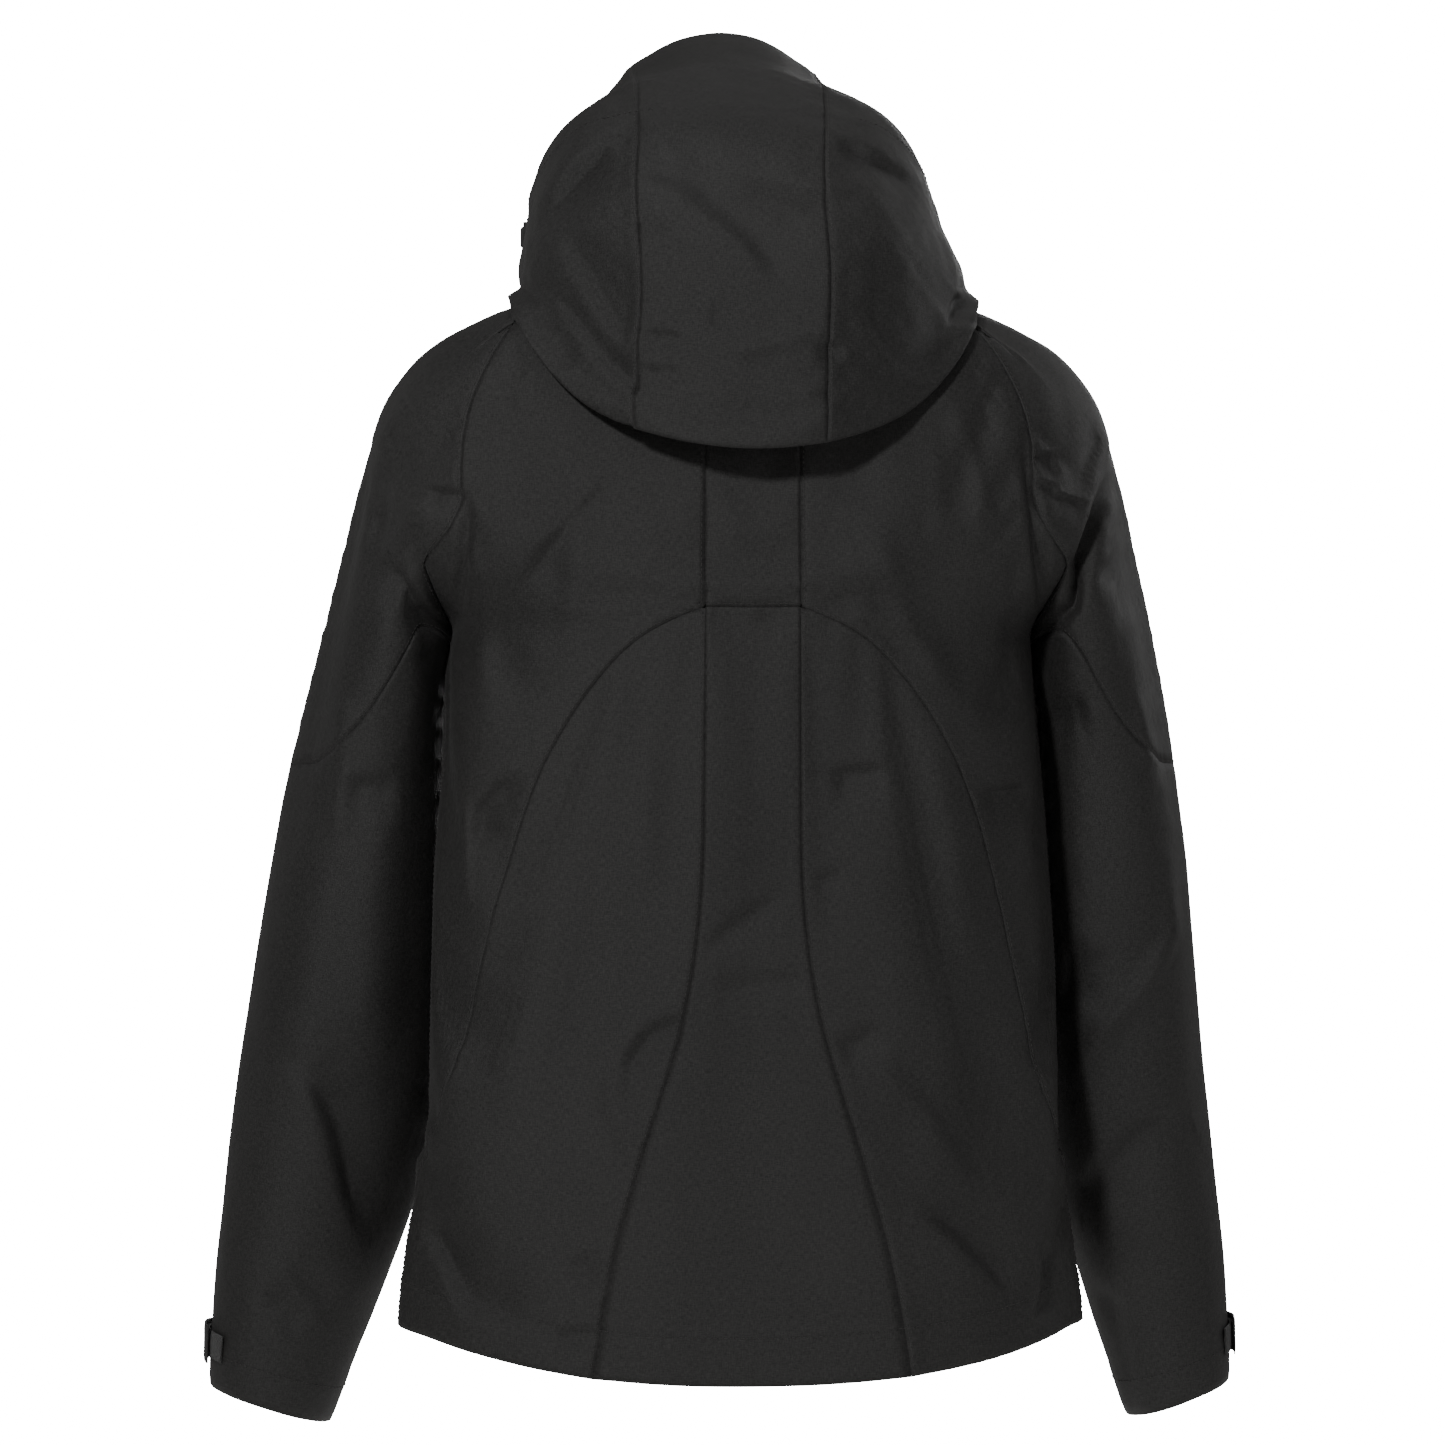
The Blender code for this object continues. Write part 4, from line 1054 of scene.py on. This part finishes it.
def seam_tape(panel, runs, surface):
    """The waterproof tape welded over a panel's seams on the inside."""
    work = bmesh.new()
    for run in runs:
        edges = [offset_line(panel, run, reach) for reach in (-TAPE_HALF, 0.0, TAPE_HALF)]
        found = [[surface.under(Vector(p)) for p in line] for line in edges]
        add_band(work, [[place - normal * TAPE_DEPTH for place, normal, _ in line] for line in found])
    bmesh.ops.recalc_face_normals(work, faces=work.faces)
    name = f"{panel.name}_seam_tape"
    mesh = mesh_from(work, name)
    add_map(mesh)
    piece = show(mesh, name, FACING, TAPE_THICK)
    move_with(piece, panel.body)


def sew(panels, follower):
    """Topstitching and tape along the seams, and stitches on the turned-up hem, cuffs and hood edge."""
    surface = Surface(panels)
    dashes = {}
    for panel in panels:
        kept = [(a, b) for a, b in panel.rim_pairs if a in panel.stitched and b in panel.stitched]
        runs = [run for chain in chains(kept) for run in split_at_corners(panel.points, chain)]
        for run in runs:
            dashes_along(offset_line(panel, run, STITCH_INSET), surface, dashes)
        if runs:
            seam_tape(panel, runs, surface)
    free = np.concatenate([p.points[sorted(p.free)] for p in panels if p.free])
    free_tree = tree_of(free)
    for name, away in (
        ("hem_facing", 0.020),
        ("cuff_facing_left", 0.018),
        ("cuff_facing_right", 0.018),
        ("visor_facing", 0.030),
    ):
        for line in facing_line(name, free_tree, away, follower):
            dashes_along(line, surface, dashes)
    for i, found in dashes.items():
        panel = panels[i]
        name = f"{panel.name}_stitches"
        piece = show(stitch_mesh(found, name), name, THREAD)
        add_map(piece.data)
        move_with(piece, panel.body)


# ---- other soft pieces
def soft_piece(node, material, levels, thick, puff=0.0, follower=None):
    """A soft CAD sheet's outer skin, smooth, with a little puff and thickness, in place of its node."""
    mesh = subdivided(skin_of(node), levels, node)
    cut = cut_size(mesh, way_of(node))
    if follower:
        points, _ = coordinates(mesh)
        move_points(mesh, points + follower.at(points))
    points, normals = coordinates(mesh)
    rim, _ = edge_points(mesh)
    if rim and puff:
        _, distance = nearest(tree_of(points[rim]), points)
        rise = puff * step(distance, 0.0, 0.004)
        rise += np.array([0.35 * puff * noise.noise(Vector(p) * 60.0) for p in points])
        move_points(mesh, points + normals * rise[:, None])
    add_map(mesh, grain_turn(BODY_OF[node]))
    piece = show(mesh, f"{node}_cloth", material, thick)
    stand_for(node, piece)


def box_frame(node):
    """The eight corners' frame of a straight CAD strip: its foot, its long axis, and across and out."""
    points, _ = coordinates(NODES[node].data)
    _, _, ways = np.linalg.svd(points - points.mean(0), full_matrices=False)
    up = ways[0] * np.sign(ways[0][2])
    out = ways[2]
    if out[1] < 0:
        out = -out
    across = np.cross(up, out)
    spread = [(points - points.mean(0)) @ way for way in (up, across, out)]
    low = np.array([s.min() for s in spread])
    high = np.array([s.max() for s in spread])
    turn = np.array([up, across, out])
    foot = points.mean(0) + low[0] * up + (low[1] + high[1]) / 2 * across + (low[2] + high[2]) / 2 * out
    return foot, turn, high - low


def tape_piece(node):
    """A zip's woven tape: a thin band with a corded edge and a slight ripple."""
    foot, (up, across, out), (length, width, depth) = box_frame(node)
    rows = max(int(length / 0.004), 8)
    half = ((0.2, 0.45), (0.40, 0.5), (0.46, 0.9), (0.5, 0.2))
    profile = [(-x, y) for x, y in reversed(half)] + list(half)
    work = bmesh.new()
    lines = []
    for i in range(rows + 1):
        ripple = 0.00006 * math.sin(i * 1.7)
        base = foot + up * length * i / rows
        lines.append([base + across * width * x + out * (depth * (y - 0.5) + ripple) for x, y in profile])
    add_band(work, lines)
    bmesh.ops.recalc_face_normals(work, faces=work.faces)
    mesh = mesh_from(work, node)
    add_map(mesh)
    stand_for(node, show(mesh, f"{node}_woven", TAPE, 0.0005))


def add_tooth(work, place, up, across, out, size):
    """A moulded tooth: a foot on the tape and a rounded head that reaches past the middle."""
    long, wide, high = size
    half = ((-0.50, 0.50), (0.10, 0.50), (0.26, 0.34), (0.50, 0.46), (0.62, 0.30))
    outline = list(half) + [(x, -y) for x, y in reversed(half)]
    layers = []
    for level, shrink in ((0.0, 1.0), (0.7, 1.0), (1.0, 0.72)):
        layer = []
        for x, y in outline:
            point = place + across * x * wide * shrink + up * y * long * shrink + out * level * high
            layer.append(work.verts.new(point))
        layers.append(layer)
    count = len(outline)
    for low, high_layer in zip(layers, layers[1:]):
        for k in range(count):
            j = (k + 1) % count
            work.faces.new((low[k], low[j], high_layer[j], high_layer[k]))
    work.faces.new(layers[-1])
    work.faces.new(list(reversed(layers[0])))


def teeth_piece(node, pitch, sides):
    """A row of moulded teeth where the CAD has a plain chain. sides lists which way the teeth reach."""
    foot, (up, across, out), (length, width, depth) = box_frame(node)
    work = bmesh.new()
    count = int(length / pitch)
    for side, offset in sides:
        for i in range(count):
            base = foot + up * (i + 0.5 + offset) * pitch - out * depth / 2
            reach = width if len(sides) == 1 else width / 2
            middle = 0.0 if len(sides) == 1 else -side * width / 4
            add_tooth(work, base + across * middle, up, across * side, out, (pitch * 0.52, reach, depth))
    bmesh.ops.recalc_face_normals(work, faces=work.faces)
    mesh = mesh_from(work, node)
    stand_for(node, show(mesh, f"{node}_teeth", TEETH))
    mesh.set_sharp_from_angle(angle=math.radians(40))


def add_zips():
    for word, _ in SIDES:
        tape_piece(f"zip_tape_{word}")
        tape_piece(f"pocket_tape_{word}")
        teeth_piece(f"pocket_chain_{word}", 0.0022, ((1, 0.0), (-1, 0.5)))
    for word, side in SIDES:
        foot, (_, across, _), _ = box_frame(f"zip_chain_{word}")
        inward = -np.sign(foot[0]) * np.sign(across[0])
        teeth_piece(f"zip_chain_{word}", 0.0030, ((inward, 0.0 if side < 0 else 0.5),))


def add_soft_pieces(follower):
    for word, _ in SIDES:
        soft_piece(f"cuff_facing_{word}", FACING, 2, 0.0008, follower=follower)
        soft_piece(f"pocket_bag_{word}", FACING, 2, 0.0006, 0.0008, follower)
        soft_piece(f"cuff_tab_{word}", SHELL, 3, 0.0010, 0.0004, follower)
        soft_piece(f"cuff_loop_{word}", PILE, 3, 0.0008, 0.0003, follower)
        soft_piece(f"cuff_hook_{word}", PILE, 3, 0.0008, 0.0003, follower)
    soft_piece("hem_facing", FACING, 2, 0.0008, follower=follower)
    soft_piece("visor_facing", FACING, 2, 0.0008, follower=follower)
    soft_piece("hang_loop", TAPE, 2, 0.0012)
    flap_piece()


def flap_piece():
    """The strip of facing behind the front zip, gently waved along its length."""
    foot, (up, across, out), (length, width, depth) = box_frame("storm_flap")
    foot -= up * FLAP_DROP
    length += FLAP_DROP
    rows, columns = 120, 8
    work = bmesh.new()
    lines = []
    for i in range(rows + 1):
        line = []
        for k in range(columns + 1):
            x = k / columns - 0.5
            wave = 0.25 * depth * math.sin(i * 0.31) * (2 * x) ** 2
            line.append(foot + up * length * i / rows + across * width * x + out * wave)
        lines.append(line)
    add_band(work, lines)
    mesh = mesh_from(work, "storm_flap")
    add_map(mesh)
    piece = show(mesh, "storm_flap_cloth", FACING, CLOTH)
    stand_for("storm_flap", piece)


CARRIED = {"metal": METAL, "rubber": RUBBER, "plastic": PLASTIC, "teeth": TEETH}


def finish_carried_nodes():
    """The rigid CAD nodes keep their shape and get their material."""
    for node in NODES.values():
        if node.hide_render:
            continue
        slot = node.data.materials[0].name.split(".")[0]
        node.material_slots[0].material = CARRIED[slot]
        node.data.set_sharp_from_angle(angle=math.radians(35))


def main():
    set_camera()
    set_light()
    set_floor()
    panels = make_panels()
    shape_panels(panels)
    follower = Follower(panels)
    sew(panels, follower)
    for panel in panels:
        add_map(panel.mesh, grain_turn(panel.body))
        piece = show(panel.mesh, f"{panel.name}_cloth", SHELL, CLOTH)
        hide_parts(*panel.nodes)
        move_with(piece, panel.body)
    add_soft_pieces(follower)
    add_zips()
    finish_carried_nodes()


main()
